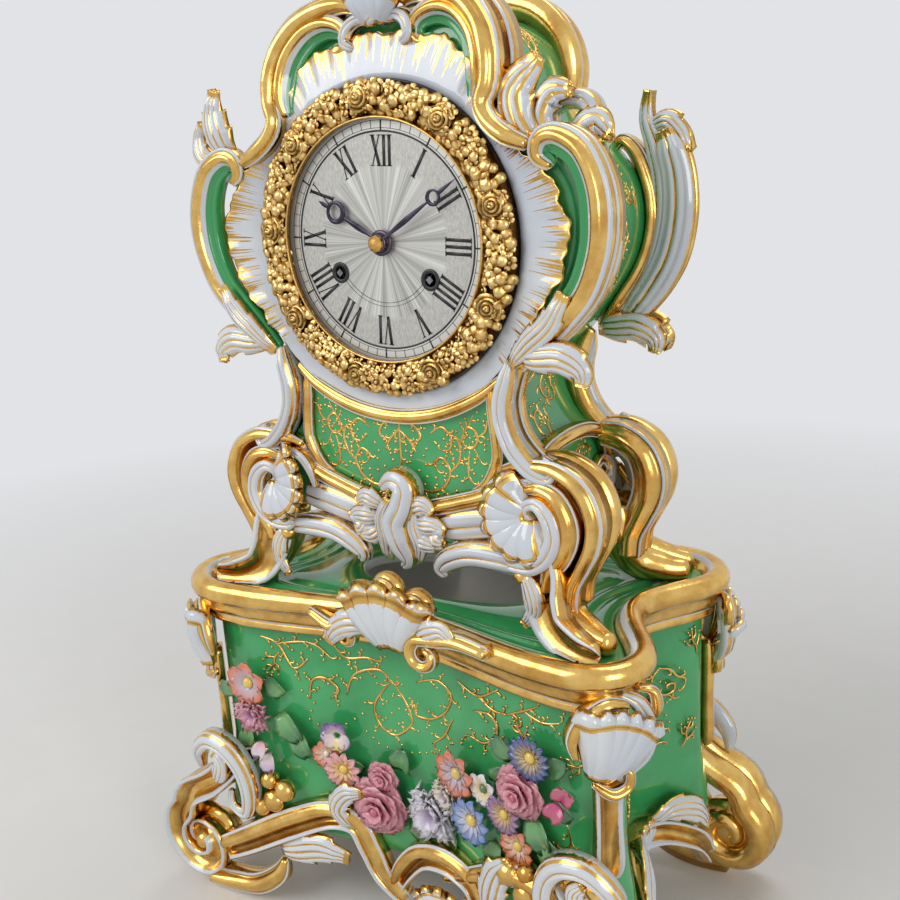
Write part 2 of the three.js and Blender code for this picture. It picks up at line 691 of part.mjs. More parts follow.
// A toothed wheel as an outline: pointed teeth, the first at angle turn.
function wheelOutline(teeth, module, turn) {
  const pitch = (teeth * module) / 2;
  const points = [];
  for (let i = 0; i < teeth; i++) {
    const angle = turn + (i * 2 * Math.PI) / teeth;
    for (const [step, radius] of [[0, pitch + 0.75 * module], [0.5, pitch - 1.05 * module]]) {
      const at = angle + (step * 2 * Math.PI) / teeth;
      points.push(new THREE.Vector2(radius * Math.cos(at), radius * Math.sin(at)));
    }
  }
  return points;
}

// A pinion as an outline: slim leaves with flat tips, a leaf at angle turn.
function pinionOutline(leaves, module, turn) {
  const pitch = (leaves * module) / 2;
  const root = pitch - 1.1 * module;
  const tip = pitch + 0.5 * module;
  const points = [];
  for (let i = 0; i < leaves; i++) {
    const angle = turn + (i * 2 * Math.PI) / leaves;
    for (const [across, radius] of [[-0.34, root], [-0.16, tip], [0.16, tip], [0.34, root]]) {
      const at = angle + Math.atan((across * module) / radius);
      points.push(new THREE.Vector2(radius * Math.cos(at), radius * Math.sin(at)));
    }
  }
  return points;
}

const shifted = (points, [x, z]) => points.map((p) => new THREE.Vector2(p.x + x, p.y + z));

// A wheel that drives: a tooth points at its pinion.
function drivingWheel(teeth, module, at, to, yFront) {
  const turn = bearingOf(at, to);
  return slab(outline(shifted(wheelOutline(teeth, module, turn), at)), yFront, yFront + wheelThick);
}
// A pinion whose gap points at the wheel that drives it.
function drivenPinion(leaves, module, at, from, yFront, yBack) {
  const turn = bearingOf(at, from) + Math.PI / leaves;
  return slab(outline(shifted(pinionOutline(leaves, module, turn), at)), yFront, yBack);
}
// An arbor whose pivots run in both plates.
const arbor = (at, extra = 0) =>
  rod(arborRadius, frontPlate[0] + 0.2, backPlate[1] - 0.2 + extra, 6, ...at);

const plateHoles = [second, third, escape, pinArbor, flyArbor];
const windingPivot = 1.5;
const windingHole = windingPivot + seat;
const hole = (radius, at) => circle(radius, 6, ...at);
const centrePivot = 1.1;

const minuteStud = rod(0.9, dialBack + 0.6, frontPlate[0] + 0.5, 6, ...minuteArbor);
const frontPlateSolid = join(
  slab(
    outline(circle(plateRadius, 28), [
      ...plateHoles.map((at) => hole(bearing + 0.1, at)),
      hole(bearing + 0.1, anchorArbor),
      hole(bearing + 0.1, hammerArbor),
      hole(windingHole, goingBarrel),
      hole(windingHole, strikeBarrel),
      hole(centrePivot + seat, centre),
    ]),
    ...frontPlate,
  ),
  minuteStud,
);
piece(movement, "front_plate", frontPlateSolid, brass);

const pillarPlaces = [[-9, -36], [9, -36], [-24, 30], [24, 30]];
const backPlateSolid = join(
  slab(
    outline(circle(plateRadius, 28), [
      ...plateHoles.map((at) => hole(bearing + 0.1, at)),
      hole(2.3, anchorArbor),
      hole(bearing + 0.1, hammerArbor),
      hole(windingHole, goingBarrel),
      hole(windingHole, strikeBarrel),
      hole(centrePivot + seat, centre),
    ]),
    ...backPlate,
  ),
  ...pillarPlaces.map((at) => rod(2.3, frontPlate[1] + seat, backPlate[0] + 0.5, 8, ...at)),
);
piece(movement, "back_plate", backPlateSolid, brass);

// Barrels with their great wheels, each on its winding arbor.
const greatWheelFront = backPlate[0] - 6.2;
const drumFront = greatWheelFront + 0.4 - barrelLength;
const barrelBore = 2.6;
function barrel(at, pinionAt) {
  const drum = rod(barrelRadius, drumFront, greatWheelFront + 0.4, 16, ...at);
  const wheel = drivingWheel(greatTeeth, greatModule, at, pinionAt, greatWheelFront);
  return cut(join(drum, wheel), rod(barrelBore + seat, drumFront - 1, greatWheelFront + 3, 12, ...at));
}
piece(movement, "going_barrel", barrel(goingBarrel, second), brass);
piece(movement, "strike_barrel", barrel(strikeBarrel, pinArbor), brass);
function windingArbor(at) {
  const shoulder = [drumFront - seat, backPlate[0] - seat];
  const body = turnedAlongY([
    [0, frontPlate[0] - 0.5], [windingPivot, frontPlate[0] - 0.5], [windingPivot, shoulder[0]],
    [barrelBore, shoulder[0]], [barrelBore, shoulder[1]], [windingPivot, shoulder[1]],
    [windingPivot, backPlate[1] - 0.2], [0, backPlate[1] - 0.2],
  ], 10, ...at);
  const square = slab(outline(circle(windingPivot, 4, ...at)), dialFace - 0.6, frontPlate[0]);
  return join(body, square);
}
piece(movement, "going_winding_arbor", windingArbor(goingBarrel), steel);
piece(movement, "strike_winding_arbor", windingArbor(strikeBarrel), steel);

// Going train
const greatMesh = [greatWheelFront - 1.5, greatWheelFront + 2.3];
const secondWheelFront = frontPlate[1] + 1.4;
piece(movement, "intermediate_wheel", join(
  arbor(second),
  drivenPinion(secondPinionLeaves, greatModule, second, goingBarrel, ...greatMesh),
  drivingWheel(secondTeeth, secondModule, second, centre, secondWheelFront),
), brass);
const centreWheelFront = backPlate[0] - 3.4;
const cannonBack = frontPlate[0] - 0.4;
const cannonPipe = 2.0;
const minuteHandFront = caseFront - 5.3;
const cannonTeeth = pinionOutline(cannonLeaves, motionModule, bearingOf(centre, minuteArbor));
const centreWheel = join(
  rod(centrePivot, minuteHandFront - 1.5, backPlate[1] - 0.2, 8),
  drivenPinion(
    centrePinionLeaves, secondModule, centre, second, secondWheelFront - 0.9, secondWheelFront + 2.2,
  ),
  drivingWheel(centreTeeth, trainModule, centre, third, centreWheelFront),
  slab(outline(cannonTeeth), cannonBack - 2.0, cannonBack),
  rod(cannonPipe, minuteHandFront + 1.2, cannonBack - 0.5, 10),
);
piece(movement, "centre_wheel", centreWheel, brass);
const thirdWheelFront = frontPlate[1] + 7.4;
piece(movement, "third_wheel", join(
  arbor(third),
  drivenPinion(
    thirdPinionLeaves, trainModule, third, centre, centreWheelFront - 1.2, centreWheelFront + 2.2,
  ),
  drivingWheel(thirdTeeth, escapeModule, third, escape, thirdWheelFront),
), brass);
const escapeWheelFront = backPlate[0] - 10;
const escapeTooth = (2 * Math.PI) / escapeTeeth;
const escapeOutline = [];
for (let i = 0; i < escapeTeeth; i++) {
  const angle = Math.PI / 2 + (i + 0.5) * escapeTooth;
  for (const [step, radius] of [[0, escapeRadius], [0.4, escapeRadius - 1.2]])
    escapeOutline.push(new THREE.Vector2(
      radius * Math.cos(angle + step * escapeTooth),
      radius * Math.sin(angle + step * escapeTooth),
    ));
}
piece(movement, "escape_wheel", join(
  arbor(escape),
  drivenPinion(
    escapePinionLeaves, escapeModule, escape, third, thirdWheelFront - 1.2, thirdWheelFront + 2.4,
  ),
  slab(outline(shifted(escapeOutline, escape)), escapeWheelFront, escapeWheelFront + wheelThick),
), brass);

// Motion work behind the dial
const minuteWheelBack = cannonBack - 0.3;
const minuteWheelFront = minuteWheelBack - 1.1;
const minutePinionFront = minuteWheelFront - 2.1;
const minuteBore = circle(0.9 + seat, 8, ...minuteArbor);
const gapTurn = bearingOf(minuteArbor, centre) + Math.PI / minuteTeeth;
const leafTurn = bearingOf(minuteArbor, centre);
const minuteWheelTeeth = shifted(wheelOutline(minuteTeeth, motionModule, gapTurn), minuteArbor);
const minutePinion = shifted(pinionOutline(minutePinionLeaves, motionModule, leafTurn), minuteArbor);
piece(movement, "minute_wheel", join(
  slab(outline(minuteWheelTeeth, [minuteBore]), minuteWheelFront, minuteWheelBack),
  slab(outline(minutePinion, [minuteBore]), minutePinionFront, minuteWheelFront + 0.2),
), brass);
const hourWheelFront = minutePinionFront + 0.2;
const hourPipe = 3.2;
const hourHandFront = caseFront - 3.5;
const hourTurn = bearingOf(centre, minuteArbor) + Math.PI / hourTeeth;
const hourWheel = cut(
  join(
    slab(outline(wheelOutline(hourTeeth, motionModule, hourTurn)), hourWheelFront, hourWheelFront + 1.1),
    rod(hourPipe, hourHandFront - 0.6, hourWheelFront + 0.5, 12),
  ),
  rod(cannonPipe + seat, hourHandFront - 2, hourWheelFront + 3, 12),
);
piece(movement, "hour_wheel", hourWheel, brass);

// Dial, bezel and hands
const dialHoles = [
  circle(hourPipe + 0.6, 12),
  hole(3, goingBarrel),
  hole(3, strikeBarrel),
];
const dialFeet = [[-30, 18], [30, 18], [0, -33]].map((at) =>
  rod(1.3, dialBack - 0.2, frontPlate[0] - seat, 6, ...at));
const dial = join(slab(outline(circle(dialRadius, 32), dialHoles), dialFace, dialBack), ...dialFeet);
piece(movement, "dial", dial, silvered);

const wreath = (radius, rise) => circle(1, 32).map((p, i) =>
  new THREE.Vector2(p.x * (radius + (i % 2) * rise), p.y * (radius + (i % 2) * rise)));
const bezelBack = caseFront - seat;
const bezel = join(
  ringAlongY(bezelInner, bezelOuter - 2, bezelBack - 4, bezelBack, 32),
  slab(outline(wreath(bezelOuter - 2, 2), [circle(bezelInner + 3, 24)]),
    bezelBack - bezelProud + seat, bezelBack - 1.5),
);
const dialRebate = rod(dialRadius + seat, dialFace - seat, caseFront + 1, 32);
piece(movement, "bezel", cut(bezel, dialRebate), giltBrass);

// A hand: a stem with an open moon near its tip, round a hole that fits on its pipe.
function hand(length, moon, boreRadius, bossRadius, yFront, degrees) {
  const moonAt = length * 0.72;
  const stem = [
    new THREE.Vector2(-0.9, 0), new THREE.Vector2(-0.5, moonAt - moon * 0.7),
    new THREE.Vector2(0.5, moonAt - moon * 0.7), new THREE.Vector2(0.9, 0),
  ].reverse();
  const tip = [
    new THREE.Vector2(-0.6, moonAt + moon * 0.8), new THREE.Vector2(0, length),
    new THREE.Vector2(0.6, moonAt + moon * 0.8),
  ].reverse();
  const yBack = yFront + 0.9;
  const moonEye = circle(moon * 0.66, 10, 0, moonAt + moon * 0.1);
  const made = cut(
    join(
      slab(outline(stem), yFront, yBack),
      slab(outline(circle(moon, 12, 0, moonAt), [moonEye]), yFront, yBack),
      slab(outline(tip), yFront, yBack),
      rod(bossRadius, yFront, yBack, 12),
    ),
    rod(boreRadius, yFront - 1, yBack + 1, 12),
  );
  return made.rotate([0, degrees, 0]);
}
// Where the hands stand at rest, clockwise from XII. The hour hand sits a little early on its pipe.
const hourDegrees = 296.4;
const minuteDegrees = 55;
piece(movement, "hour_hand",
  hand(hourHandLength, 4.2, hourPipe + seat, 5, hourHandFront, hourDegrees), blued);
piece(movement, "minute_hand",
  hand(minuteHandLength, 2.9, centrePivot + seat, 3.4, minuteHandFront, minuteDegrees), blued);
const collet = cut(
  turnedAlongY([
    [0, minuteHandFront - 2.8], [1.8, minuteHandFront - 2.5], [3, minuteHandFront - 1.5],
    [3, minuteHandFront - seat], [0, minuteHandFront - seat],
  ], 10),
  rod(centrePivot + 0.2, minuteHandFront - 1.6, minuteHandFront + 1, 8),
);
piece(movement, "hand_collet", collet, brass);

// Strike train
piece(movement, "pin_wheel", join(
  arbor(pinArbor),
  drivenPinion(secondPinionLeaves, greatModule, pinArbor, strikeBarrel, ...greatMesh),
  drivingWheel(pinWheelTeeth, pinWheelModule, pinArbor, flyArbor, secondWheelFront),
  ...Array.from({ length: 8 }, (_, i) =>
    rod(0.4, secondWheelFront + 0.9, secondWheelFront + 3, 4, ...polar(pinArbor, 6.4, i * 45))),
), brass);
const [flyX, flyZ] = flyArbor;
piece(movement, "fly", join(
  arbor(flyArbor),
  drivenPinion(
    flyLeaves, pinWheelModule, flyArbor, pinArbor, secondWheelFront - 0.8, secondWheelFront + 2.2,
  ),
  block(flyX - 6, flyX + 6, frontPlate[1] + 18, frontPlate[1] + 24, flyZ - 0.4, flyZ + 0.4),
), brass);

// Bell on its standard behind the back plate, and the hammer beside it
const bellFront = backPlate[1] + 8.2;
const bellAt = [0, -4];
const bellWall = 1.4;
const bellDepth = 10;
const bell = turnedAlongY([
  [bellRadius, bellFront], [bellRadius * 0.97, bellFront + 4], [bellRadius * 0.8, bellFront + 8],
  [bellRadius * 0.4, bellFront + bellDepth], [1.6, bellFront + bellDepth + 0.3],
  [1.6, bellFront + bellDepth + 0.3 - bellWall], [bellRadius * 0.38, bellFront + bellDepth - bellWall],
  [bellRadius * 0.8 - bellWall, bellFront + 8 - bellWall],
  [bellRadius * 0.97 - bellWall, bellFront + 3], [bellRadius - bellWall, bellFront],
  [bellRadius, bellFront],
], 20, ...bellAt);
piece(movement, "bell", bell, bellMetal);
const standardFoot = [11, -16];
const standardBack = bellFront + 6.6;
piece(movement, "bell_standard", join(
  rod(3, backPlate[1] + seat, backPlate[1] + 1.8, 8, ...standardFoot),
  rod(1.3, backPlate[1] + seat, standardBack, 6, ...standardFoot),
  scroll([
    [standardFoot[0], standardBack - 1, standardFoot[1], 1], [6, standardBack - 1, -10, 1],
    [bellAt[0], standardBack - 1, bellAt[1], 1],
  ], 1.2, 1.2, 4, 6, point(0, 1, 0)),
  rod(2.4, standardBack - 2, bellFront + bellDepth + 0.3 - bellWall - seat, 8, ...bellAt),
  rod(1.2, standardBack - 2, bellFront + bellDepth + 2.5, 8, ...bellAt),
), steel);

const [hammerX, hammerZ] = hammerArbor;
const headAt = [-32.2, -16];
piece(movement, "hammer", join(
  arbor(hammerArbor, 3),
  scroll([
    [hammerX, backPlate[1] + 2, hammerZ, 1], [hammerX + 1, backPlate[1] + 4, hammerZ - 8, 0.9],
    [headAt[0], backPlate[1] + 8, headAt[1], 1],
  ], 1.1, 1.1, 5, 6, point(1, 0, 0)),
  rod(2.6, backPlate[1] + 6, bellFront + 5, 8, ...headAt),
), steel);

// Escapement: the anchor rocks on its arbor and its crutch leads the pendulum
const cockFront = backPlate[1] + 2.8;
const cockBack = cockFront + 1.8;
const palletClear = 0.12;
function anchorArm(side) {
  const tip = polar(escape, escapeRadius + palletClear, 90 - side * palletSpan);
  const root = polar(escape, escapeRadius + 2.2, 90 - side * (palletSpan + 4));
  return slab(outline([
    new THREE.Vector2(tip[0] - 0.25, tip[1]),
    new THREE.Vector2(tip[0] + 0.25, tip[1]),
    new THREE.Vector2(root[0] + 0.5, root[1]),
    new THREE.Vector2(anchorArbor[0] + 0.9, anchorArbor[1] + 1),
    new THREE.Vector2(anchorArbor[0] - 0.9, anchorArbor[1] + 1),
    new THREE.Vector2(root[0] - 0.5, root[1]),
  ]), escapeWheelFront - 0.4, escapeWheelFront + wheelThick + 0.4);
}
const crutchY = backPlate[1] + 0.6;
const pendulumY = cockBack + 1.6;
const rodHalf = 0.9;
const forkLow = anchorArbor[1] - 30;
const prongIn = rodHalf + seat;
const prongOut = prongIn + 1;
const prongZ = [forkLow - 1, forkLow + 1.2];
const crutchParts = join(
  block(-1, 1, crutchY, crutchY + 1, forkLow, anchorArbor[1]),
  block(-prongOut, prongOut, crutchY, crutchY + 1, ...prongZ),
  block(prongIn, prongOut, crutchY, pendulumY + 2 * rodHalf, ...prongZ),
  block(-prongOut, -prongIn, crutchY, pendulumY + 2 * rodHalf, ...prongZ),
);
const hung = crutchParts
  .translate([0, 0, -anchorArbor[1]])
  .rotate([0, -dialTurn, 0])
  .translate([0, 0, anchorArbor[1]]);
piece(movement, "anchor", join(
  rod(arborRadius, frontPlate[0] + 0.2, cockBack - 0.2, 6, ...anchorArbor),
  rod(1.3, escapeWheelFront - 0.4, escapeWheelFront + wheelThick + 0.4, 8, ...anchorArbor),
  anchorArm(1),
  anchorArm(-1),
  hung,
), steel);

const cockHoles = [hole(bearing + 0.1, anchorArbor)];
const cockHalf = 11;
const cockRect = [
  new THREE.Vector2(-cockHalf, anchorArbor[1] - 2.6), new THREE.Vector2(cockHalf, anchorArbor[1] - 2.6),
  new THREE.Vector2(cockHalf, anchorArbor[1] + 2.6), new THREE.Vector2(-cockHalf, anchorArbor[1] + 2.6),
];
const cockFoot = (x) => block(
  x - 2.2, x + 2.2, backPlate[1] + seat, cockFront + 0.5, anchorArbor[1] - 6, anchorArbor[1] + 1,
);
piece(movement, "back_cock", join(
  slab(outline(cockRect, cockHoles), cockFront, cockBack),
  cockFoot(-cockHalf + 2.2),
  cockFoot(cockHalf - 2.2),
  block(-3, 3, cockBack - 0.5, pendulumY + 2, anchorArbor[1] + 1.4, anchorArbor[1] + 4),
), brass);

// The pendulum hangs straight down from the turned movement's suspension.
const hangX = anchorArbor[1] * Math.sin(radians(dialTurn));
const hangZ = anchorArbor[1] * Math.cos(radians(dialTurn));
const bobZ = hangZ - pendulumLength;
const rodBack = pendulumY + 2 * rodHalf;
const nutZ = bobZ - bobRadius - 3.4;
piece(clock, "pendulum_rod", join(
  block(hangX - 1.6, hangX + 1.6, pendulumY + 0.6, pendulumY + 1.0, hangZ - 6, hangZ + 0.9),
  block(hangX - rodHalf, hangX + rodHalf, pendulumY, rodBack, nutZ - 4, hangZ - 5),
  block(hangX - 3, hangX + 3, pendulumY - 2, rodBack + 2, nutZ, nutZ + 3),
), steel);
const bob = cut(
  turnedAlongY([
    [0, pendulumY + rodHalf - bobThick / 2], [bobRadius * 0.6, pendulumY + rodHalf - bobThick * 0.4],
    [bobRadius, pendulumY + rodHalf], [bobRadius * 0.6, pendulumY + rodHalf + bobThick * 0.4],
    [0, pendulumY + rodHalf + bobThick / 2],
  ], 20, hangX, bobZ),
  block(hangX - rodHalf - seat, hangX + rodHalf + seat, pendulumY - seat, rodBack + seat,
    bobZ - bobRadius - 9, bobZ + bobRadius + 9),
);
piece(clock, "pendulum_bob", bob, brass);

// Straps, rear ring and rear door
const strapIn = plateRadius + 1.2;
const strapOut = holeRadius - 1.2;
for (const [sideName, side] of sides) {
  const strap = block(strapIn, strapOut, bezelBack + seat, caseBack, -5, 5);
  piece(clock, `${sideName}_strap`, side < 0 ? mirrorX(strap) : strap, brass);
}
const ringFront = caseBack + seat;
const ringBack = ringFront + 3;
const doorFront = ringBack + seat;
const doorBack = doorFront + 1.6;
const pinRadius = 0.9;
const knuckle = 2.2;
const hingeX = -doorRadius - 2.6;
const hingeY = doorFront + knuckle;
const knuckleHalf = 5;
const upright = (radius, zLow, zHigh, sidesCount) => {
  const geometry = new THREE.CylinderGeometry(radius, radius, zHigh - zLow, sidesCount);
  return solid(geometry.rotateX(Math.PI / 2).translate(hingeX, hingeY, (zLow + zHigh) / 2));
};
const earLow = [-knuckleHalf - seat - 4, -knuckleHalf - seat];
const earHigh = [knuckleHalf + seat, knuckleHalf + seat + 4];
const ears = [earLow, earHigh].map(([zLow, zHigh]) => join(
  upright(knuckle, zLow, zHigh, 10),
  block(hingeX - 1.5, hingeX + 2, ringFront, hingeY, zLow, zHigh),
));
const rearRing = join(
  ringAlongY(strapIn + 0.4, doorRadius + 6, ringFront, ringBack, 28),
  ...ears,
  upright(pinRadius, earLow[0], earHigh[1], 8),
);
piece(clock, "rear_ring", rearRing, giltBrass);
const door = cut(
  join(
    rod(doorRadius, doorFront, doorBack, 28),
    block(hingeX, -doorRadius + 4, doorFront, doorBack, -knuckleHalf, knuckleHalf),
    upright(knuckle, -knuckleHalf, knuckleHalf, 10),
    turnedAlongY([[0, doorBack - 0.2], [2.6, doorBack - 0.2], [2, doorBack + 4], [0, doorBack + 4.6]], 10,
      doorRadius - 6, 0),
  ),
  upright(pinRadius + seat, -knuckleHalf - 1, knuckleHalf + 1, 8),
);
piece(clock, "rear_door", door, giltBrass);

export default group;
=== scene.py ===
# %% [markdown]
# # A porcelain mantel clock on its stand
#
# The real clock is hard-paste porcelain. Its walls are moulded, its scrolls and leaves are pressed in
# small moulds and luted on, and the whole is glazed, painted green and gilded. A round brass movement
# sits in the case behind a wreath-shaped bezel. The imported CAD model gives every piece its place, and
# the cells below dress it, one piece or finish at a time.

import json
import math
import random

import bmesh
import bpy
from mathutils import Matrix, Vector


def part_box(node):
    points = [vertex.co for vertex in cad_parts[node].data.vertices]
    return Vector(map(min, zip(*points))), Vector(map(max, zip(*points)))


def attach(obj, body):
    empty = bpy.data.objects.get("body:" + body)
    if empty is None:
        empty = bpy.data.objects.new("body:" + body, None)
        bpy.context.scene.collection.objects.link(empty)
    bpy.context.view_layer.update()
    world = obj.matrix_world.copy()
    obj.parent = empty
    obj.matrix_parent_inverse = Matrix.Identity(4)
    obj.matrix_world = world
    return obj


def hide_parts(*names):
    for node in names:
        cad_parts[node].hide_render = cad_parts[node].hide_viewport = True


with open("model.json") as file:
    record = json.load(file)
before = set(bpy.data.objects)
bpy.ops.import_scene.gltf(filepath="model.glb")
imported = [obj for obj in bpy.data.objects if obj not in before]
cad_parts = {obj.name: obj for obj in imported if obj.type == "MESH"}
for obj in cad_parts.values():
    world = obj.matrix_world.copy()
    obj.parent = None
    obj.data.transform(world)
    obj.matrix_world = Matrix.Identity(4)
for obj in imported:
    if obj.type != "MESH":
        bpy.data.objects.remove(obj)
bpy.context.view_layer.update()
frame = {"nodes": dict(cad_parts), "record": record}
print("CAD nodes:", len(frame["nodes"]))

# %% [markdown]
# ## Making forms from grids
#
# A scroll, a leaf and a petal are all one bent sheet. Each starts here as a flat grid from
# bmesh.ops.create_grid, and its points are moved on to rows that are worked out from the piece's own
# spine and section. The grid gives a UV map for nothing: U runs across a row and V along the rows.
# Two attributes ride along with the shape: "gilt" says where the gilder's brush went, and its values
# over 1, like all its values on the bezel, carry painted shade; "paint" holds an enamel colour.

# %% A bmesh with the layers that the finishes read
MM = 0.001
WELD = 2e-6
PLAIN = (0.80, 0.80, 0.79, 1.0)


def new_form():
    bm = bmesh.new()
    bm.loops.layers.uv.new("UVMap")
    bm.verts.layers.float.new("gilt")
    bm.verts.layers.float_color.new("paint")
    return bm


# %% Add a small form to a large one
def join_form(bm, part):
    """Each operator visits every vertex of its bmesh, so a form with many parts is made part by part."""
    mesh = bpy.data.meshes.new("part")
    part.to_mesh(mesh)
    part.free()
    bm.from_mesh(mesh)
    bpy.data.meshes.remove(mesh)


# %% Skin rows of points, in millimetres
def skin(bm, rows, gilt=None, paint=None, ring=True, loop=False):
    """Lays a grid over rows of points. ring closes each row, and loop closes the last row on the first."""
    part = new_form()
    wide = len(rows[0])
    count = len(rows)
    across = wide if ring else wide - 1
    along = count if loop else count - 1
    made = bmesh.ops.create_grid(part, x_segments=across, y_segments=along, size=0.5, calc_uvs=True)
    gilt_layer = part.verts.layers.float["gilt"]
    paint_layer = part.verts.layers.float_color["paint"]
    for vert in made["verts"]:
        i = round((vert.co.x + 0.5) * across) % wide
        j = round((vert.co.y + 0.5) * along) % count
        vert[gilt_layer] = gilt[j][i] if gilt else 0.0
        vert[paint_layer] = paint[j][i] if paint else PLAIN
        vert.co = rows[j][i] * MM
    bmesh.ops.remove_doubles(part, verts=part.verts, dist=WELD)
    join_form(bm, part)


# %% A smooth line through a few points, each (x, y, z, share of the full width)
def smooth_line(points, steps):
    last = len(points) - 1
    line = []
    for step in range(steps + 1):
        place = step / steps * last
        i = min(last - 1, int(place))
        t = place - i
        a, b, c, d = (points[max(0, min(last, i + k))] for k in (-1, 0, 1, 2))
        line.append([
            0.5 * (
                2 * q + (r - p) * t + (2 * p - 5 * q + 4 * r - s) * t * t + (3 * q - p - 3 * r + s) * t ** 3
            )
            for p, q, r, s in zip(a, b, c, d)
        ])
    return [(Vector(values[:3]), max(0.02, values[3])) for values in line]


# %% [markdown]
# ## Scroll bands
#
# Every C-scroll on the clock is one band: a section carried along a curve, narrow where it starts and
# curling up at its end. A Blender curve with a bevel object could do it, but its section can't carry
# the gilder's white lines, so the section here is a short list of (across, height, gilt) that is laid
# along the spine.

# %% Sections of the bands
# The third value of a section is the gilt. Values over 1 stand in its grooves and hollows, where the gold is
# browned as painted shade.
ROLL = [
    (-1, -0.3, 1), (-1, 0.3, 1), (-0.95, 0.5, 0.2), (-0.84, 0.56, 0), (-0.74, 0.42, 1.7), (-0.45, 0.8, 1),
    (-0.1, 1, 1), (0.3, 0.95, 1), (0.6, 0.62, 1), (0.74, 0.36, 1.8), (0.84, 0.56, 0), (0.95, 0.5, 0.2),
    (1, 0.3, 1), (1, -0.3, 1),
]
CHANNEL = [
    (-1, -0.3, 1), (-1, 0.6, 1), (-0.9, 0.95, 0), (-0.76, 0.9, 0), (-0.62, 0.6, 1.2), (-0.25, 0.3, 1.8),
    (0.15, 0.25, 1.3), (0.5, 0.5, 1), (0.72, 0.85, 0), (0.87, 1, 0), (1, 0.7, 1), (1, -0.3, 1),
]
WHITE_STEM = [
    (-1, -0.3, 0), (-0.98, 0.3, 0.8), (-0.88, 0.58, 1.3), (-0.76, 0.68, 0), (-0.4, 0.95, 0), (-0.2, 0.9, 0),
    (-0.1, 0.76, 1.3), (0, 0.9, 0), (0.25, 1, 0), (0.62, 0.85, 0), (0.76, 0.6, 1.3), (0.88, 0.55, 0.2),
    (0.98, 0.3, 0.8), (1, -0.3, 0),
]
WIDE_SCROLL = [
    (-1, -0.3, 1), (-1, 0.45, 1), (-0.94, 0.62, 0), (-0.86, 0.6, 0), (-0.78, 0.7, 1.4), (-0.5, 1, 1),
    (-0.2, 0.9, 1), (0.02, 0.55, 1.5), (0.2, 0.28, 2), (0.4, 0.26, 1.8), (0.55, 0.5, 1), (0.64, 0.78, 0),
    (0.76, 0.8, 0), (0.84, 0.66, 1.3), (1, 0.4, 1), (1, -0.3, 1),
]
ROUND = [(math.cos(a), math.sin(a), 1) for a in [k * math.pi / 5 for k in range(10)]]
LINE = [(-1, -0.5, 1), (-0.75, 0.6, 1), (0, 1, 1), (0.75, 0.6, 1), (1, -0.5, 1)]


# %% Lay a section along a curve
def two_faced(section):
    """The same dressed face in front and behind, for a scroll that stands free."""
    front = [point for point in section if point[1] > 0]
    return front + [(a, -h, g) for a, h, g in reversed(front)]


def band(bm, points, wide, deep, section=ROLL, steps=40, normal=(0, -1, 0), gild=None, tip=0.35):
    """wide is the half width in the curve's plane, and deep the height along the normal."""
    line = smooth_line(points, steps)
    rows = []
    gilt = []
    turn = normal if callable(normal) else (lambda place: Vector(normal))

    def ring(centre, along, share, spread, at):
        across = along.cross(turn(centre)).normalized()
        proud = across.cross(along).normalized()
        rows.append([
            centre + across * (a * wide * share * spread) + proud * (b * deep * share * spread)
            for a, b, _ in section
        ])
        gilt.append([(g if gild is None else gild(at, a, g)) for a, _, g in section])

    for i, (centre, share) in enumerate(line):
        along = (line[min(steps, i + 1)][0] - line[max(0, i - 1)][0]).normalized()
        if i == 0:
            ring(centre - along * wide * share * tip, along, share, 0.01, 0)
            ring(centre - along * wide * share * tip * 0.7, along, share, 0.6, 0)
        ring(centre, along, share, 1, i / steps)
        if i == steps:
            ring(centre + along * wide * share * tip * 0.7, along, share, 0.6, 1)
            ring(centre + along * wide * share * tip, along, share, 0.01, 1)
    skin(bm, rows, gilt)


# %% Points on a spiral in a plane that faces the viewer
def spiral(x, y, z, radius_from, radius_to, turn_from, turn_to, count=9, share_from=1.0, share_to=0.6):
    """Angles in degrees, counter-clockwise from +X as the viewer sees it."""
    made = []
    for k in range(count):
        t = k / (count - 1)
        angle = math.radians(turn_from + (turn_to - turn_from) * t)
        radius = radius_from * (radius_to / radius_from) ** t
        share = share_from + (share_to - share_from) * t
        made.append((x + radius * math.cos(angle), y, z + radius * math.sin(angle), share))
    return made


# %% [markdown]
# ## Leaves, shells and petals
#
# A leaf is a sheet with two faces that meet at its edge. Its front is worked out point by point, with
# the veins pressed in, and its back is the same sheet moved inwards.

# %% A sheet with a front and a back
def sheet(bm, across, along, place, thick, gilt=None, paint=None):
    """place(u, v) gives the front in millimetres, for u and v from 0 to 1."""
    def over_grid(value):
        return [[value(i / across, j / along) for i in range(across + 1)] for j in range(along + 1)]

    grid = over_grid(place)
    values = over_grid(gilt or (lambda u, v: 0.0))
    colours = over_grid(paint or (lambda u, v: PLAIN))
    back = []
    for j in range(along + 1):
        row = []
        for i in range(across + 1):
            if i in (0, across) or j in (0, along):
                row.append(grid[j][i].copy())
                continue
            side = grid[j][i + 1] - grid[j][i - 1]
            up = grid[j + 1][i] - grid[j - 1][i]
            out = side.cross(up)
            out = out.normalized() if out.length > 1e-9 else Vector((0, -1, 0))
            row.append(grid[j][i] - out * thick)
        back.append(row)
    part = new_form()
    skin(part, grid, values, colours, ring=False)
    skin(part, back, values, colours, ring=False)
    bmesh.ops.remove_doubles(part, verts=part.verts, dist=WELD)
    join_form(bm, part)


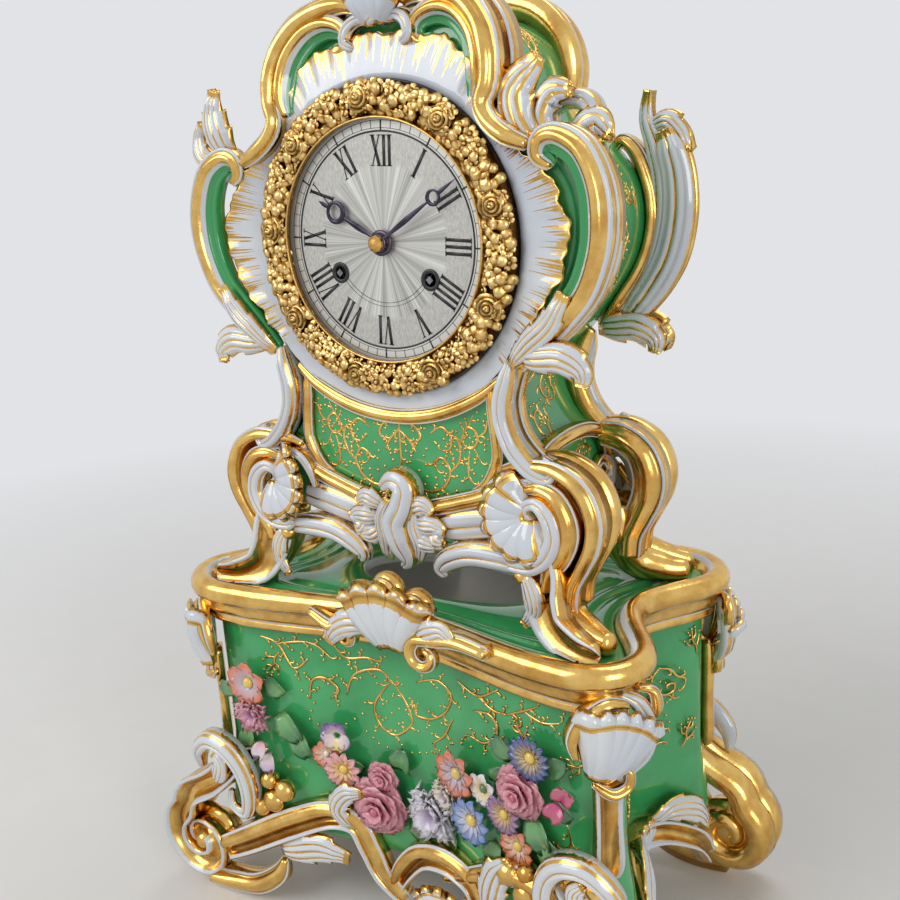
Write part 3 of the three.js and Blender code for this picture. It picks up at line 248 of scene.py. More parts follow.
# %% An acanthus leaf along a spine
def leaf(
    bm, points, wide, deep, normal=(0, -1, 0), lobes=4, ribs=3, steps=26, curl=0.7, gild=1.0, reach=0.62,
):
    """The leaf swells and narrows with the shares. Its lobes hook towards the tip, and the tip rolls out."""
    line = smooth_line(points, steps)
    turn = normal if callable(normal) else (lambda place: Vector(normal))
    across_steps = 6 * ribs

    def frame_at(j):
        centre, share = line[j]
        along = (line[min(steps, j + 1)][0] - line[max(0, j - 1)][0]).normalized()
        across = along.cross(turn(centre)).normalized()
        return centre, share, across, across.cross(along).normalized(), along

    frames = [frame_at(j) for j in range(steps + 1)]

    def groove(a):
        uneven = 0.8 - 0.12 * a + 0.06 * math.sin(5 * a)
        return abs(math.cos(a * ribs * math.pi * uneven + math.pi / 2 * (ribs % 2)))

    def place(u, v):
        centre, share, across, proud, along = frames[round(v * steps)]
        a = 2 * u - 1
        tooth = (v * lobes) % 1.0
        lobe = 1 + (0.26 * tooth - 0.13) * abs(a) ** 3
        hook = 0.35 * wide * share * tooth * abs(a) ** 3
        body = (1 - 0.55 * a * a) * 0.72 + 0.28 * groove(a) ** 0.45 * (1 - a ** 4)
        rise = curl * max(0.0, (v - 0.6) / 0.4) ** 2
        end = min(1.0, 6 * v + 0.05, 5 * (1 - v) + 0.05)
        height = body * share * end + rise
        return centre + across * (a * wide * share * lobe) + along * hook + proud * (height * deep)

    # The veins are gilt lines. Over 1, at the bottoms of the grooves and at the root where the leaf springs
    # from what carries it, the gold is browned as painted shade.
    def gilt(u, v):
        a = abs(2 * u - 1)
        edge = min(1.0, max(0.0, (a - 0.78) / 0.16))
        vein = 1.5 * max(0.0, 1 - groove(2 * u - 1) / reach) ** 0.7 * (1 - 0.35 * v)
        root = 1.3 * max(0.0, 1 - v / 0.16)
        return gild * max(edge, vein, root, min(1.0, 1.4 * (v - 0.86) / 0.14))

    sheet(bm, across_steps, steps, place, deep * 0.55, gilt)


# %% A fan-shaped shell
def shell(bm, x, y, z, reach, turn_from, turn_to, ribs=7, deep=5, normal=(0, -1, 0), flat=0.15, rim=0.09):
    """The shell opens from its hinge at (x, y, z). Angles in degrees from +X, counter-clockwise."""
    out = Vector(normal).normalized()
    across = Vector((0, 0, 1)).cross(out).normalized()
    up = out.cross(across).normalized()
    fans = 10 * ribs
    rings = 18

    def rib(u):
        return abs(math.sin(u * ribs * math.pi))

    def place(u, v):
        angle = math.radians(turn_from + (turn_to - turn_from) * u)
        radius = reach * (flat + (1 - flat) * v) * (0.93 + 0.12 * rib(u) ** 0.7 * v ** 2)
        end = min(1.0, 8 * u + 0.02, 8 * (1 - u) + 0.02)
        dish = 0.3 + 0.7 * math.sin(min(1.0, v * 1.05) * math.pi * 0.72)
        lip = 0.3 * max(0.0, v - 0.86) / 0.14
        height = deep * end * (dish * (0.66 + 0.34 * rib(u) ** 0.5) + lip)
        flat_place = across * (radius * math.cos(angle)) + up * (radius * math.sin(angle))
        return Vector((x, y, z)) + flat_place + out * height

    # Over 1 the gold is browned as painted shade: in the groove lines, in a band just inside the lip where
    # the dish turns up, and at the hinge. The edge of the lip is plain gilt.
    def gilt(u, v):
        line = 1.7 * max(0.0, 1 - rib(u) / 0.72) ** 0.6 * min(1.0, 0.5 + v)
        rim_painted_shade = 1.7 * math.exp(-((v - 0.84) / rim) ** 2)
        return max(rim_painted_shade, line if v < 0.84 else 0.0, 1.2 * (v < 0.12), 0.75 * (v > 0.98))

    sheet(bm, fans, rings, place, deep * 0.5, gilt)


# %% A knob, dimple or flower heart
def knob(bm, x, y, z, rx, ry, rz, gilt=1.0, paint=PLAIN, rounds=14):
    part = new_form()
    made = bmesh.ops.create_uvsphere(part, u_segments=rounds, v_segments=max(5, rounds - 5), radius=1.0)
    gilt_layer = part.verts.layers.float["gilt"]
    paint_layer = part.verts.layers.float_color["paint"]
    for vert in made["verts"]:
        vert.co = Vector((x + vert.co.x * rx, y + vert.co.y * ry, z + vert.co.z * rz)) * MM
        vert[gilt_layer] = gilt
        vert[paint_layer] = paint
    join_form(bm, part)


# %% Make one named piece that rides on a body
def finish_piece(bm, name, material, body, replaces=()):
    bmesh.ops.recalc_face_normals(bm, faces=bm.faces)
    for face in bm.faces:
        face.smooth = True
    mesh = bpy.data.meshes.new(name)
    bm.to_mesh(mesh)
    bm.free()
    piece = bpy.data.objects.new(name, mesh)
    bpy.context.scene.collection.objects.link(piece)
    mesh.materials.append(material)
    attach(piece, body)
    if replaces:
        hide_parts(*replaces)
    print(f"{name}: {len(mesh.polygons)} faces")
    return piece


# %% [markdown]
# ## Finishes
#
# All porcelain has one clear glaze, so every finish below is a dielectric with a low roughness, and
# the gilding is a metal laid over it. The edge between the two is broken with a little noise, because a
# brush never follows a moulded edge exactly.

# %% Helpers for shader nodes
def linear(red, green, blue):
    """An sRGB colour out of 255 as the linear colour that shaders use."""
    shares = [c / 255 for c in (red, green, blue)]
    return tuple(c / 12.92 if c <= 0.04 else ((c + 0.055) / 1.055) ** 2.4 for c in shares) + (1.0,)


def new_finish(name):
    material = bpy.data.materials.new(name)
    material.use_nodes = True
    tree = material.node_tree
    tree.nodes.clear()
    output = tree.nodes.new("ShaderNodeOutputMaterial")
    return material, tree, output


def add(tree, kind, inputs=None, **settings):
    node = tree.nodes.new(kind)
    for key, value in settings.items():
        setattr(node, key, value)
    for key, value in (inputs or {}).items():
        if isinstance(value, bpy.types.NodeSocket):
            tree.links.new(value, node.inputs[key])
        else:
            node.inputs[key].default_value = value
    return node


def noise(tree, scale, detail=3.0, roughness=0.5, vector=None, stretch=None):
    if vector is None:
        vector = add(tree, "ShaderNodeTexCoord").outputs["Object"]
    if stretch:
        vector = add(tree, "ShaderNodeMapping", {"Vector": vector, "Scale": stretch}).outputs["Vector"]
    inputs = {"Vector": vector, "Scale": scale, "Detail": detail, "Roughness": roughness}
    return add(tree, "ShaderNodeTexNoise", inputs).outputs["Fac"]


def math_node(tree, operation, a, b=None, clamp=False):
    inputs = {0: a} if b is None else {0: a, 1: b}
    return add(tree, "ShaderNodeMath", inputs, operation=operation, use_clamp=clamp).outputs[0]


def steeper(tree, value, middle, gain, clamp=False):
    """How far the value is over the middle, times a gain."""
    return math_node(tree, "MULTIPLY", math_node(tree, "SUBTRACT", value, middle), gain, clamp=clamp)


def mix_colour(tree, factor, a, b):
    return add(tree, "ShaderNodeMix", {"Factor": factor, 6: a, 7: b}, data_type="RGBA").outputs[2]


def ramp(tree, factor, stops):
    node = add(tree, "ShaderNodeValToRGB", {"Fac": factor})
    while len(node.color_ramp.elements) < len(stops):
        node.color_ramp.elements.new(0.5)
    for element, (position, colour) in zip(node.color_ramp.elements, stops):
        element.position = position
        element.color = colour
    return node.outputs["Color"]


def bump(tree, height, strength, distance=0.0004):
    inputs = {"Height": height, "Strength": strength, "Distance": distance}
    return add(tree, "ShaderNodeBump", inputs).outputs["Normal"]


# %% Gilding: burnished, a little uneven, and browner where the attribute goes over 1: painted shade in the hollows, brown strokes on the ruffle
GOLD_BRIGHT = linear(238, 198, 116)
GOLD_DEEP = linear(196, 142, 66)
GOLD_BROWN_AND_PAINTED_SHADE = linear(112, 66, 22)


def gilding(tree, roughness=0.2, gilt=None):
    """Where the attribute goes over 1 the gold is mixed with brown. The white-and-gold pieces put those
    values in their grooves, hollows and creases, so there the brown is painted shade; on the ruffle it is
    the brown of the brush strokes.
    """
    worn = noise(tree, 90.0, 4.0, 0.6)
    colour = ramp(tree, worn, [(0.25, GOLD_DEEP), (0.62, GOLD_BRIGHT)])
    if gilt is not None:
        # Brown over the gold: painted shade in the hollows of the moulded pieces, and the brown of the
        # strokes on the ruffle.
        cloud = steeper(tree, noise(tree, 150.0, 3.0, 0.6), 0.5, 0.9)
        brown = math_node(tree, "ADD", math_node(tree, "SUBTRACT", gilt, 1.12), cloud, clamp=True)
        colour = mix_colour(tree, brown, colour, GOLD_BROWN_AND_PAINTED_SHADE)
    uneven = noise(tree, 260.0, 2.0, 0.5)
    return add(tree, "ShaderNodeBsdfPrincipled", {
        "Base Color": colour, "Metallic": 1.0, "Roughness": roughness,
        "Normal": bump(tree, uneven, 0.35, 0.0003),
    }).outputs["BSDF"]


def glaze(tree, colour, roughness=0.1, normal=None):
    inputs = {
        "Base Color": colour, "Roughness": roughness, "IOR": 1.52, "Coat Weight": 0.4,
        "Coat Roughness": 0.04,
    }
    if normal is not None:
        inputs["Normal"] = normal
    return add(tree, "ShaderNodeBsdfPrincipled", inputs).outputs["BSDF"]


def attribute(tree, name, output="Fac"):
    return add(tree, "ShaderNodeAttribute", attribute_type="GEOMETRY", attribute_name=name).outputs[output]


def brushed_edge(tree, gilt, scale=700.0, reach=0.5):
    moved = math_node(tree, "ADD", gilt, steeper(tree, noise(tree, scale, 2.0, 0.5), 0.5, reach))
    return math_node(tree, "ADD", steeper(tree, moved, 0.5, 9.0), 0.5, clamp=True)


# %% White porcelain with gilding where the attribute says
def white_and_gold():
    material, tree, output = new_finish("white_and_gold")
    mottled = noise(tree, 22.0, 2.0)
    colour = ramp(tree, mottled, [(0.3, linear(202, 209, 220)), (0.7, linear(222, 225, 227))])
    gilt = attribute(tree, "gilt")
    green = math_node(tree, "MULTIPLY", math_node(tree, "ADD", gilt, 0.3), -6.0, clamp=True)
    colour = mix_colour(tree, green, colour, linear(58, 162, 92))
    white = glaze(tree, colour, 0.1)
    inputs = {"Fac": brushed_edge(tree, gilt), 1: white, 2: gilding(tree, 0.2, gilt)}
    mixed = add(tree, "ShaderNodeMixShader", inputs)
    tree.links.new(mixed.outputs[0], output.inputs["Surface"])
    return material


WHITE_AND_GOLD = white_and_gold()


# %% [markdown]
# The green ground is an enamel laid on in flat washes, so it gathers in the hollows. Its "gilt"
# attribute is used the other way round here: it says where the porcelain was left white.

# %% Green ground
def green_ground():
    material, tree, output = new_finish("green_ground")
    wash = noise(tree, 35.0, 3.0, 0.55)
    green = ramp(tree, wash, [(0.3, linear(48, 150, 84)), (0.7, linear(74, 178, 108))])
    white = linear(214, 216, 214)
    colour = mix_colour(tree, attribute(tree, "gilt"), green, white)
    ripple = noise(tree, 60.0, 1.0)
    tree.links.new(glaze(tree, colour, 0.09, bump(tree, ripple, 0.12, 0.0006)), output.inputs["Surface"])
    return material


GREEN_GROUND = green_ground()


# %% Enamelled flowers: the paint attribute, with paler streaks from a noise
def flower_enamel():
    material, tree, output = new_finish("flower_enamel")
    paint = attribute(tree, "paint", "Color")
    streaks = noise(tree, 320.0, 3.0, 0.6)
    pale = mix_colour(tree, 0.16, paint, linear(238, 232, 232))
    colour = mix_colour(tree, streaks, paint, pale)
    tree.links.new(glaze(tree, colour, 0.18, bump(tree, streaks, 0.3, 0.0003)), output.inputs["Surface"])
    return material


FLOWER_ENAMEL = flower_enamel()
print("finishes so far:", [m.name for m in bpy.data.materials])

# %% [markdown]
# ## The stand
#
# The stand's plan is a cartouche: its four sides draw in towards their middles and its corners are
# round. The CAD model uses the same rule with fewer points.

# %% The plan of the stand, drawn in by an inset
FRONT_X, SIDE_Y = 80.0, 39.0
FRONT_MIDDLE, FRONT_BULGE = 50.0, 12.0
SIDE_MIDDLE, SIDE_BULGE = 87.0, 18.0
WALL_INSET = 11
STAND_TOP = 150
OPENING_X, OPENING_Y, OPENING_STRETCH = 43, 21, 1.9


def swell(share):
    return math.sin(math.pi / 2 * share) ** 2


def front_edge(x):
    return FRONT_MIDDLE + FRONT_BULGE * swell(min(1.0, abs(x) / FRONT_X))


def side_edge(y):
    return SIDE_MIDDLE + SIDE_BULGE * swell(min(1.0, abs(y) / SIDE_Y))


def plan_ring(inset, z):
    corner_x = SIDE_MIDDLE + SIDE_BULGE - FRONT_X
    corner_y = FRONT_MIDDLE + FRONT_BULGE - SIDE_Y
    quarter = [(FRONT_X * i / 14, -front_edge(FRONT_X * i / 14)) for i in range(14)]
    for i in range(13):
        angle = -math.pi / 2 + i * math.pi / 24
        quarter.append((FRONT_X + corner_x * math.cos(angle), -SIDE_Y + corner_y * math.sin(angle)))
    for i in range(1, 10):
        y = SIDE_Y * (1 - i / 10)
        quarter.append((side_edge(y), -y))
    half = quarter + [(side_edge(0), 0.0)] + [(x, -y) for x, y in quarter[:0:-1]]
    whole = half + [(0.0, front_edge(0))] + [(-x, y) for x, y in half[:0:-1]]
    ring = []
    for i, (x, y) in enumerate(whole):
        ax, ay = whole[i - 1]
        bx, by = whole[(i + 1) % len(whole)]
        length = math.hypot(bx - ax, by - ay)
        ring.append(Vector((x - (by - ay) / length * inset, y + (bx - ax) / length * inset, z)))
    return ring


print("points in the plan:", len(plan_ring(0, 0)))

# %% [markdown]
# The hollow body is one skin: up the outside, in over the green top to the oval opening, and down the
# inside, which was left white.

# %% Stand body
def oval_ring(z):
    turns = [math.atan2(p.y * OPENING_STRETCH, p.x) for p in plan_ring(WALL_INSET, 0)]
    return [Vector((OPENING_X * math.cos(turn), OPENING_Y * math.sin(turn), z)) for turn in turns]


def between(a, b, t, z):
    return [Vector((p.x + (q.x - p.x) * t, p.y + (q.y - p.y) * t, z)) for p, q in zip(a, b)]


def stand_body():
    bm = new_form()
    walls = [
        (14, 38.4), (9.5, 38.0), (7.6, 40), (7.1, 45), (7.4, 51), (8.4, 58), (9.8, 66), (10.8, 78),
        (11, 100), (11, 149.4), (11.8, STAND_TOP),
    ]
    top = [
        (0.1, 149.9), (0.18, 149.8), (0.2, 149.0), (0.28, 149.0), (0.3, 149.9), (0.38, 149.9), (0.4, 149.1),
        (0.48, 149.1), (0.5, 149.8), (0.8, 149.7), (0.97, 149.6),
    ]
    rows = [plan_ring(inset, z) for inset, z in walls]
    white = [1.0, 0.0] + [0.0] * (len(walls) - 2)
    edge, oval = plan_ring(11.8, STAND_TOP), oval_ring(STAND_TOP)
    for t, z in top:
        rows.append(between(edge, oval, t, z))
        white.append(0.0)
    rows.append(oval_ring(148.6))
    rows.append(oval_ring(145.2))
    inside = plan_ring(16, 145)
    rows.append(between(inside, oval_ring(145), 0.97, 145))
    rows.append(inside)
    rows.append(plan_ring(16, 60))
    rows.append(plan_ring(15, 39))
    white += [0.9, 1.0, 1.0, 1.0, 1.0, 1.0]
    gilt = [[w] * len(edge) for w in white]
    skin(bm, rows, gilt, loop=True)
    return finish_piece(bm, "stand_body_glazed", GREEN_GROUND, "stand", ["stand_body"])


stand_body()

# %% [markdown]
# The rim is a heavy gilt moulding with a white line under its roll. It is the same ring of points at
# ever new insets and heights, closed on itself.

# %% Stand rim
def stand_rim():
    bm = new_form()
    # The 1.3 just under the white line browns the gold in that crease as painted shade.
    profile = [
        (10.7, 135.2, 1), (7.4, 135.0, 1), (6.2, 135.8, 1), (6.0, 137.0, 1), (6.6, 138.2, 1),
        (6.9, 138.8, 0), (6.2, 139.4, 0), (5.2, 139.9, 1), (4.0, 141.5, 1), (3.4, 143.5, 1),
        (2.9, 145.4, 1.3), (2.2, 146.6, 0), (1.4, 146.9, 0), (0.6, 147.4, 1), (0.0, 149.4, 1),
        (0.2, 151.6, 1), (1.2, 153.5, 1), (2.8, 154.6, 1), (4.6, 154.95, 1), (6.4, 154.6, 0.9),
        (7.3, 154.1, 0), (8.4, 153.4, 0), (9.2, 152.2, 1), (9.8, 151.0, 1), (10.7, 150.2, 1),
    ]
    rows = [plan_ring(inset, z) for inset, z, _ in profile]
    gilt = [[g] * len(rows[0]) for _, _, g in profile]
    skin(bm, rows, gilt, loop=True)
    return finish_piece(bm, "stand_rim_gilt", WHITE_AND_GOLD, "stand", ["stand_rim"])


stand_rim()

# %% [markdown]
# Each foot is a big C-scroll that rolls up on the table. A white curl with a gilt edge grows over the
# roll, and a second band runs inwards along the floor.

# %% Stand feet
def mirrored(bm, side, depth):
    """Turns the front right form into its twin at another corner or side."""
    bmesh.ops.scale(bm, vec=(side, depth, 1), verts=bm.verts)


def stand_foot(side, depth, name):
    bm = new_form()
    y = -59
    roll = [(68, -50, 76, 0.15), (80, -54, 70, 0.85), (93, -57, 58, 1.05), (106, -59, 50, 1.1)]
    roll += spiral(102.2, y, 25.5, 17.6, 4.2, 62, -400, 18, 1.15, 0.6)
    band(bm, roll, 6.0, 8.5, CHANNEL, 70)
    band(bm, [(x, yy + 5, z, s * 0.96) for x, yy, z, s in roll], 6.0, 8.0, ROUND, 60)
    tail = [
        (101, y, 6, 0.95), (88, -57, 6.4, 1.0), (75, -56, 9, 0.95), (64, -55, 17, 0.8), (61, -54, 24, 0.4),
    ]
    band(bm, tail, 5.6, 7, ROLL, 26)
    curl = [
        (101, y, 63, 0.4), (99.5, y - 1, 72, 0.8), (90.5, y - 2, 80, 1), (80, y - 2, 78.5, 1.05),
        (73.5, y - 1, 70, 1), (72, y, 58, 0.95), (76.5, y + 1, 46, 0.75), (83.5, y, 48, 0.5),
        (84, y, 55, 0.35),
    ]
    band(bm, curl, 4.4, 6, WHITE_STEM, 54)
    sprout = [(92, y - 1, 58, 0.5), (87, y - 2, 64, 1), (85.5, y - 2, 70, 0.9), (89, y - 2, 74, 0.4)]
    leaf(bm, sprout, 4.5, 5, lobes=2, steps=16)
    for x, z, r in ((62, 55, 5.4), (69, 50, 4.6), (55, 62, 5.0), (63, 65, 4.2)):
        knob(bm, x, -56, z, r, 4.6, r)
    knob(bm, 102.2, y + 3, 25.5, 15, 5, 15)
    knob(bm, 102.2, y - 3, 25.5, 4.5, 5, 4.5)
    mirrored(bm, side, depth)
    return finish_piece(bm, name + "_scroll", WHITE_AND_GOLD, "stand", [name])


CORNERS = [
    (side, depth, f"{depth_name}_{side_name}")
    for depth_name, depth in (("front", 1), ("rear", -1))
    for side_name, side in (("left", -1), ("right", 1))
]
for side, depth, corner in CORNERS:
    stand_foot(side, depth, "stand_foot_" + corner)

# %% [markdown]
# Between the feet the lower edge is a run of S-scrolls and leaves that overlap each other.

# %% Front and rear aprons of the stand
def on_front(x, z, share, proud=4.0):
    return (x, -(front_edge(x) - WALL_INSET) - proud, z, share)


def stand_apron(depth, name):
    bm = new_form()
    left_scroll = [
        (-88, 26, 0.9, 9), (-74, 34, 1, 7), (-54, 45, 1.05), (-36, 53, 1.0), (-24, 51, 0.9), (-18, 40, 0.9),
        (-13, 28, 0.8), (-4, 20, 0.7),
    ]
    middle_scroll = [
        (-8, 22, 0.6), (-2, 34, 0.9), (8, 45, 1), (22, 49, 1.05), (34, 45, 0.9), (37, 36, 0.7),
        (30, 33, 0.5),
    ]
    right_scroll = [
        (20, 40, 0.6), (32, 47, 0.8), (48, 57, 1), (62, 62, 1), (74, 58, 1), (82, 46, 0.9, 6),
        (89, 32, 0.8, 9),
    ]
    for points, wide, section, steps in (
        (left_scroll, 7.0, WIDE_SCROLL, 46),
        (middle_scroll, 6, WIDE_SCROLL, 40),
        (right_scroll, 5, ROLL, 40),
    ):
        band(bm, [on_front(*point) for point in points], wide, 7, section, steps)
    for points, proud, wide in (
        ([(-62, 30, 0.5), (-52, 33, 1), (-40, 36, 1), (-28, 34, 0.4)], 6, 7),
        ([(44, 36, 0.4), (46, 48, 1), (50, 60, 1), (56, 68, 0.3)], 7, 6.5),
        ([(-24, 48, 0.5), (-30, 58, 1), (-26, 66, 0.9), (-18, 68, 0.3)], 7, 5.5),
    ):
        leaf(bm, [on_front(*point, proud) for point in points], wide, 5)
    shell(bm, 22, -49, 27, 15, 20, 160, 5, 6)
    mirrored(bm, 1, depth)
    return finish_piece(bm, name + "_scrolls", WHITE_AND_GOLD, "stand", [name])


stand_apron(1, "stand_front_apron")
stand_apron(-1, "stand_rear_apron")


# %% Side aprons
def side_apron(side, name):
    bm = new_form()

    def on_side(y, z, share, proud=4.0):
        return (side_edge(y) - WALL_INSET + proud, y, z, share)

    arch = [
        (-36, 24, 0.7), (-28, 36, 0.9), (-14, 46, 1), (0, 50, 1.05), (14, 46, 1), (28, 36, 0.9),
        (36, 24, 0.7),
    ]
    band(bm, [on_side(*point) for point in arch], 5, 7, CHANNEL, 40, normal=(1, 0, 0))
    for way in (-1, 1):
        spine = [(8, 52, 0.5), (16, 56, 1), (26, 52, 1), (33, 42, 0.4)]
        leaf(bm, [on_side(way * y, z, share, 6) for y, z, share in spine], 5.5, 4.5, normal=(1, 0, 0))
    shell(bm, side_edge(0) - WALL_INSET + 4, 0, 42, 15, 25, 155, 5, 5, normal=(1, 0, 0))
    mirrored(bm, side, 1)
    return finish_piece(bm, name + "_scrolls", WHITE_AND_GOLD, "stand", [name])


side_apron(1, "stand_right_apron")
side_apron(-1, "stand_left_apron")

# %% [markdown]
# A flat gilt pilaster stands at each corner. It carries a white shell bracket that holds the rim.

# %% Pilasters with their shell brackets
def pilaster(side, depth, name):
    bm = new_form()
    out = Vector((0.72, -0.69, 0)).normalized()
    across = Vector((0, 0, 1)).cross(out).normalized()
    foot = Vector((91.5, -48.5, 0))

    def at(k, z, proud, share=1.0):
        p = foot + across * k + out * proud
        return (p.x, p.y, z, share)

    stem = [at(0, z, 0.6, share) for z, share in ((70, 0.7), (76, 1), (92, 0.9), (112, 0.95), (118, 0.9))]
    band(bm, stem, 5.6, 3.4, CHANNEL, 18, normal=out)
    x, y, z, _ = at(-5, 112, 2.4)
    shell(bm, x, y, z, 29, 38, 104, 6, 7.5, normal=out, flat=0.06, rim=0.035)
    right_fold = [
        (6, 112, 3, 0.5), (12, 120, 3.5, 0.9), (13.5, 130, 3.5, 1), (10, 139, 3.5, 0.9), (4, 143, 3, 0.5),
    ]
    left_fold = [
        (-12, 121, 2, 0.5), (-13.5, 129, 2.5, 0.9), (-10, 136.5, 3.5, 1), (-2, 141, 4, 1), (6, 139, 4, 0.6),
    ]
    low_curl = [
        (-6, 110, 2.5, 0.5), (0, 106, 3.5, 1), (6, 108, 3.5, 0.9), (6.5, 113.5, 3.5, 0.7),
        (2.5, 114, 3.5, 0.4),
    ]
    top_curl = [(14, 131, 3, 0.5), (16.5, 136, 3, 1), (15.5, 142, 3, 0.8), (11, 143.5, 3, 0.4)]
    for points, wide, deep, section, steps in (
        (right_fold, 3.2, 5, WHITE_STEM, 30),
        (left_fold, 2.8, 5, ROLL, 30),
        (low_curl, 2.4, 4.5, ROLL, 26),
        (top_curl, 2.4, 4.5, ROLL, 20),
    ):
        band(bm, [at(*point) for point in points], wide, deep, section, steps, normal=out)
    mirrored(bm, side, depth)
    return finish_piece(bm, name + "_bracket", WHITE_AND_GOLD, "stand", [name])


for side, depth, corner in CORNERS:
    pilaster(side, depth, "stand_pilaster_" + corner)

# %% [markdown]
# The big shell in the middle of the front rises over the rim, and the rim's lower roll curls up beside
# it.

# %% Front shell of the stand
def front_shell():
    bm = new_form()
    y = -front_edge(0) - 2
    shell(bm, 9, y - 1, 140, 31, 48, 138, 5, 7)
    for x, z, r in ((-4, 162, 6.4), (8.5, 166.8, 7.2), (21.5, 163, 6.6)):
        knob(bm, x, y - 3, z, r, 4.5, r)
        turns = [k * math.pi / 5 for k in range(11)]
        ring = [(x + r * 0.62 * math.cos(a), y - 6.4, z + r * 0.62 * math.sin(a), 1) for a in turns]
        band(bm, ring, 1.3, 1.6, ROLL, 30)
    left_leaf = [(2, y - 3, 150, 0.5), (-8, y - 4, 151, 1), (-16, y - 4, 147, 0.9), (-21, y - 3, 141, 0.4)]
    leaf(bm, left_leaf, 6, 5, lobes=2)
    right_leaf = [(20, y - 3, 150, 0.5), (28, y - 5, 155, 1), (34, y - 6, 157, 0.8), (38, y - 6, 154, 0.3)]
    leaf(bm, right_leaf, 5.5, 5, lobes=2)
    curl = [(52, y - 6, 152.5, 0.9), (40, y - 5, 154, 1), (28, y - 4, 152, 1)]
    curl += spiral(24, y - 4, 144, 7.5, 2.2, 110, 440, 12, 1, 0.5)
    band(bm, curl, 3.2, 5.5, ROLL, 50)
    cup = [(-30, y - 3, 151, 0.7), (-20, y - 4, 148, 1)]
    cup += spiral(-14, y - 3, 143.5, 6, 2, 130, -150, 9, 1, 0.5)
    band(bm, cup, 2.8, 5, ROLL, 36)
    return finish_piece(
        bm, "stand_front_shell_relief", WHITE_AND_GOLD, "stand", ["stand_front_shell"],
    )


front_shell()

# %% [markdown]
# ## The clock case
#
# The case is one hollow piece. Seen from the front it has a domed head, round shoulders, a waist and a
# wider base, and above the dial its front leans back. The outline is a smooth line through a few points,
# and each row of the skin is that outline at another depth.

# %% The outline of the case, from the dial's centre
DIAL_Z = 290.3
CASE_FRONT, CASE_BACK = -30.0, 28.0
LEAN_FROM, LEAN = 34.0, 0.22
CASE_BEND = [
    (0, 78), (20, 77), (34.8, 72), (44.2, 63), (47, 52), (48, 44), (54, 35), (64, 30), (72, 21), (76, 10),
    (76, -2), (72, -14), (64, -26), (55, -37), (47, -46), (44, -57), (48, -68), (56, -77),
]


CASE_LINE = [(p.x, p.z) for p, _ in smooth_line([(x, 0, z, 1) for x, z in CASE_BEND], 84)]
FOOT_X, FOOT_Z = 56.0, -112.0
HOLE_RADIUS = 46
CASE_FOOT = -104
WALL_THICKNESS = 5
SOLE_HEIGHT = 0.1503


def leant(y, z):
    share = min(1.0, (CASE_BACK - y) / (CASE_BACK - CASE_FRONT))
    return y + LEAN * max(0.0, z - LEAN_FROM) * share


def case_outline(grow):
    right = CASE_LINE + [(FOOT_X, z) for z in (-86.0, -95.0, -103.0, FOOT_Z)] + [(FOOT_X / 2, FOOT_Z)]
    whole = right + [(0.0, FOOT_Z)] + [(-x, z) for x, z in right[:0:-1]]
    ring = []
    for i, (x, z) in enumerate(whole):
        ax, az = whole[i - 1]
        bx, bz = whole[(i + 1) % len(whole)]
        length = math.hypot(bx - ax, bz - az)
        ring.append((x - (bz - az) / length * grow, z + (bx - ax) / length * grow))
    return ring


print("points in the outline:", len(case_outline(0)))

# %% [markdown]
# The skin runs from the dial hole out over the front, along the sides, in over the back and round
# inside. It is then cut level at the foot, and the two walls are bridged there, because the real case is
# open underneath for the pendulum.

# %% The glazed case
def case_wall():
    bm = new_form()
    edge = case_outline(0)
    hole = []
    turn = math.pi / 2
    half = len(edge) // 2
    for i, (x, z) in enumerate(edge[:half + 1]):
        if 0 < i < half:
            turn = min(turn - 0.004, math.atan2(z + 20, x))
        else:
            turn = math.pi / 2 - math.pi * (i > 0)
        hole.append((HOLE_RADIUS * math.cos(turn), HOLE_RADIUS * math.sin(turn)))
    hole += [(-x, z) for x, z in hole[-2:0:-1]]
    rows, white = [], []

    def ring(points, y, inside=0.0):
        rows.append([Vector((x, leant(y, z), DIAL_Z + z)) for x, z in points])
        white.append([inside] * len(points))

    def across(share, grow):
        return [
            (a[0] + (b[0] - a[0]) * share, a[1] + (b[1] - a[1]) * share)
            for a, b in zip(hole, case_outline(grow))
        ]

    ring(hole, -29.2)
    for share in (0.02, 0.25, 0.5, 0.75, 0.95):
        ring(across(share, -2), CASE_FRONT)
    wall = [
        (-2, -30), (-0.6, -29.4), (0, -28), (0, -18), (0, -6), (0, 6), (0, 18), (0, 26), (-0.6, 27.4),
        (-2, 28),
    ]
    for grow, y in wall:
        ring(case_outline(grow), y)
    for share in (0.75, 0.4, 0.02):
        ring(across(share, -2), CASE_BACK)
    ring(hole, 27.2)
    ring(hole, 24.0, 1.0)
    ring(across(0.1, -WALL_THICKNESS), 23.0, 1.0)
    for y in (23, 10, -5, -25):
        ring(case_outline(-WALL_THICKNESS), y, 1.0)
    ring(across(0.1, -WALL_THICKNESS), -25.0, 1.0)
    ring(hole, -26.0, 1.0)
    skin(bm, rows, white, loop=True)
    level = (0, 0, (DIAL_Z + CASE_FOOT) * MM)
    geometry = bm.verts[:] + bm.edges[:] + bm.faces[:]
    bmesh.ops.bisect_plane(
        bm, geom=geometry, plane_co=level, plane_no=(0, 0, -1), clear_outer=True, dist=1e-6,
    )
    bmesh.ops.bridge_loops(bm, edges=[e for e in bm.edges if e.is_boundary])
    return finish_piece(bm, "case_glazed", GREEN_GROUND, "clock_case", ["case_shell"])


case_wall()

# %% [markdown]
# ## The white ruffle round the dial
#
# The ruffle is a thin flounce of white porcelain with a serrated edge. The gilder drew one fine stroke
# after another in from the edge, so its finish reads the piece's UV map: U runs round the dial, and the
# attribute says how far out a point is.

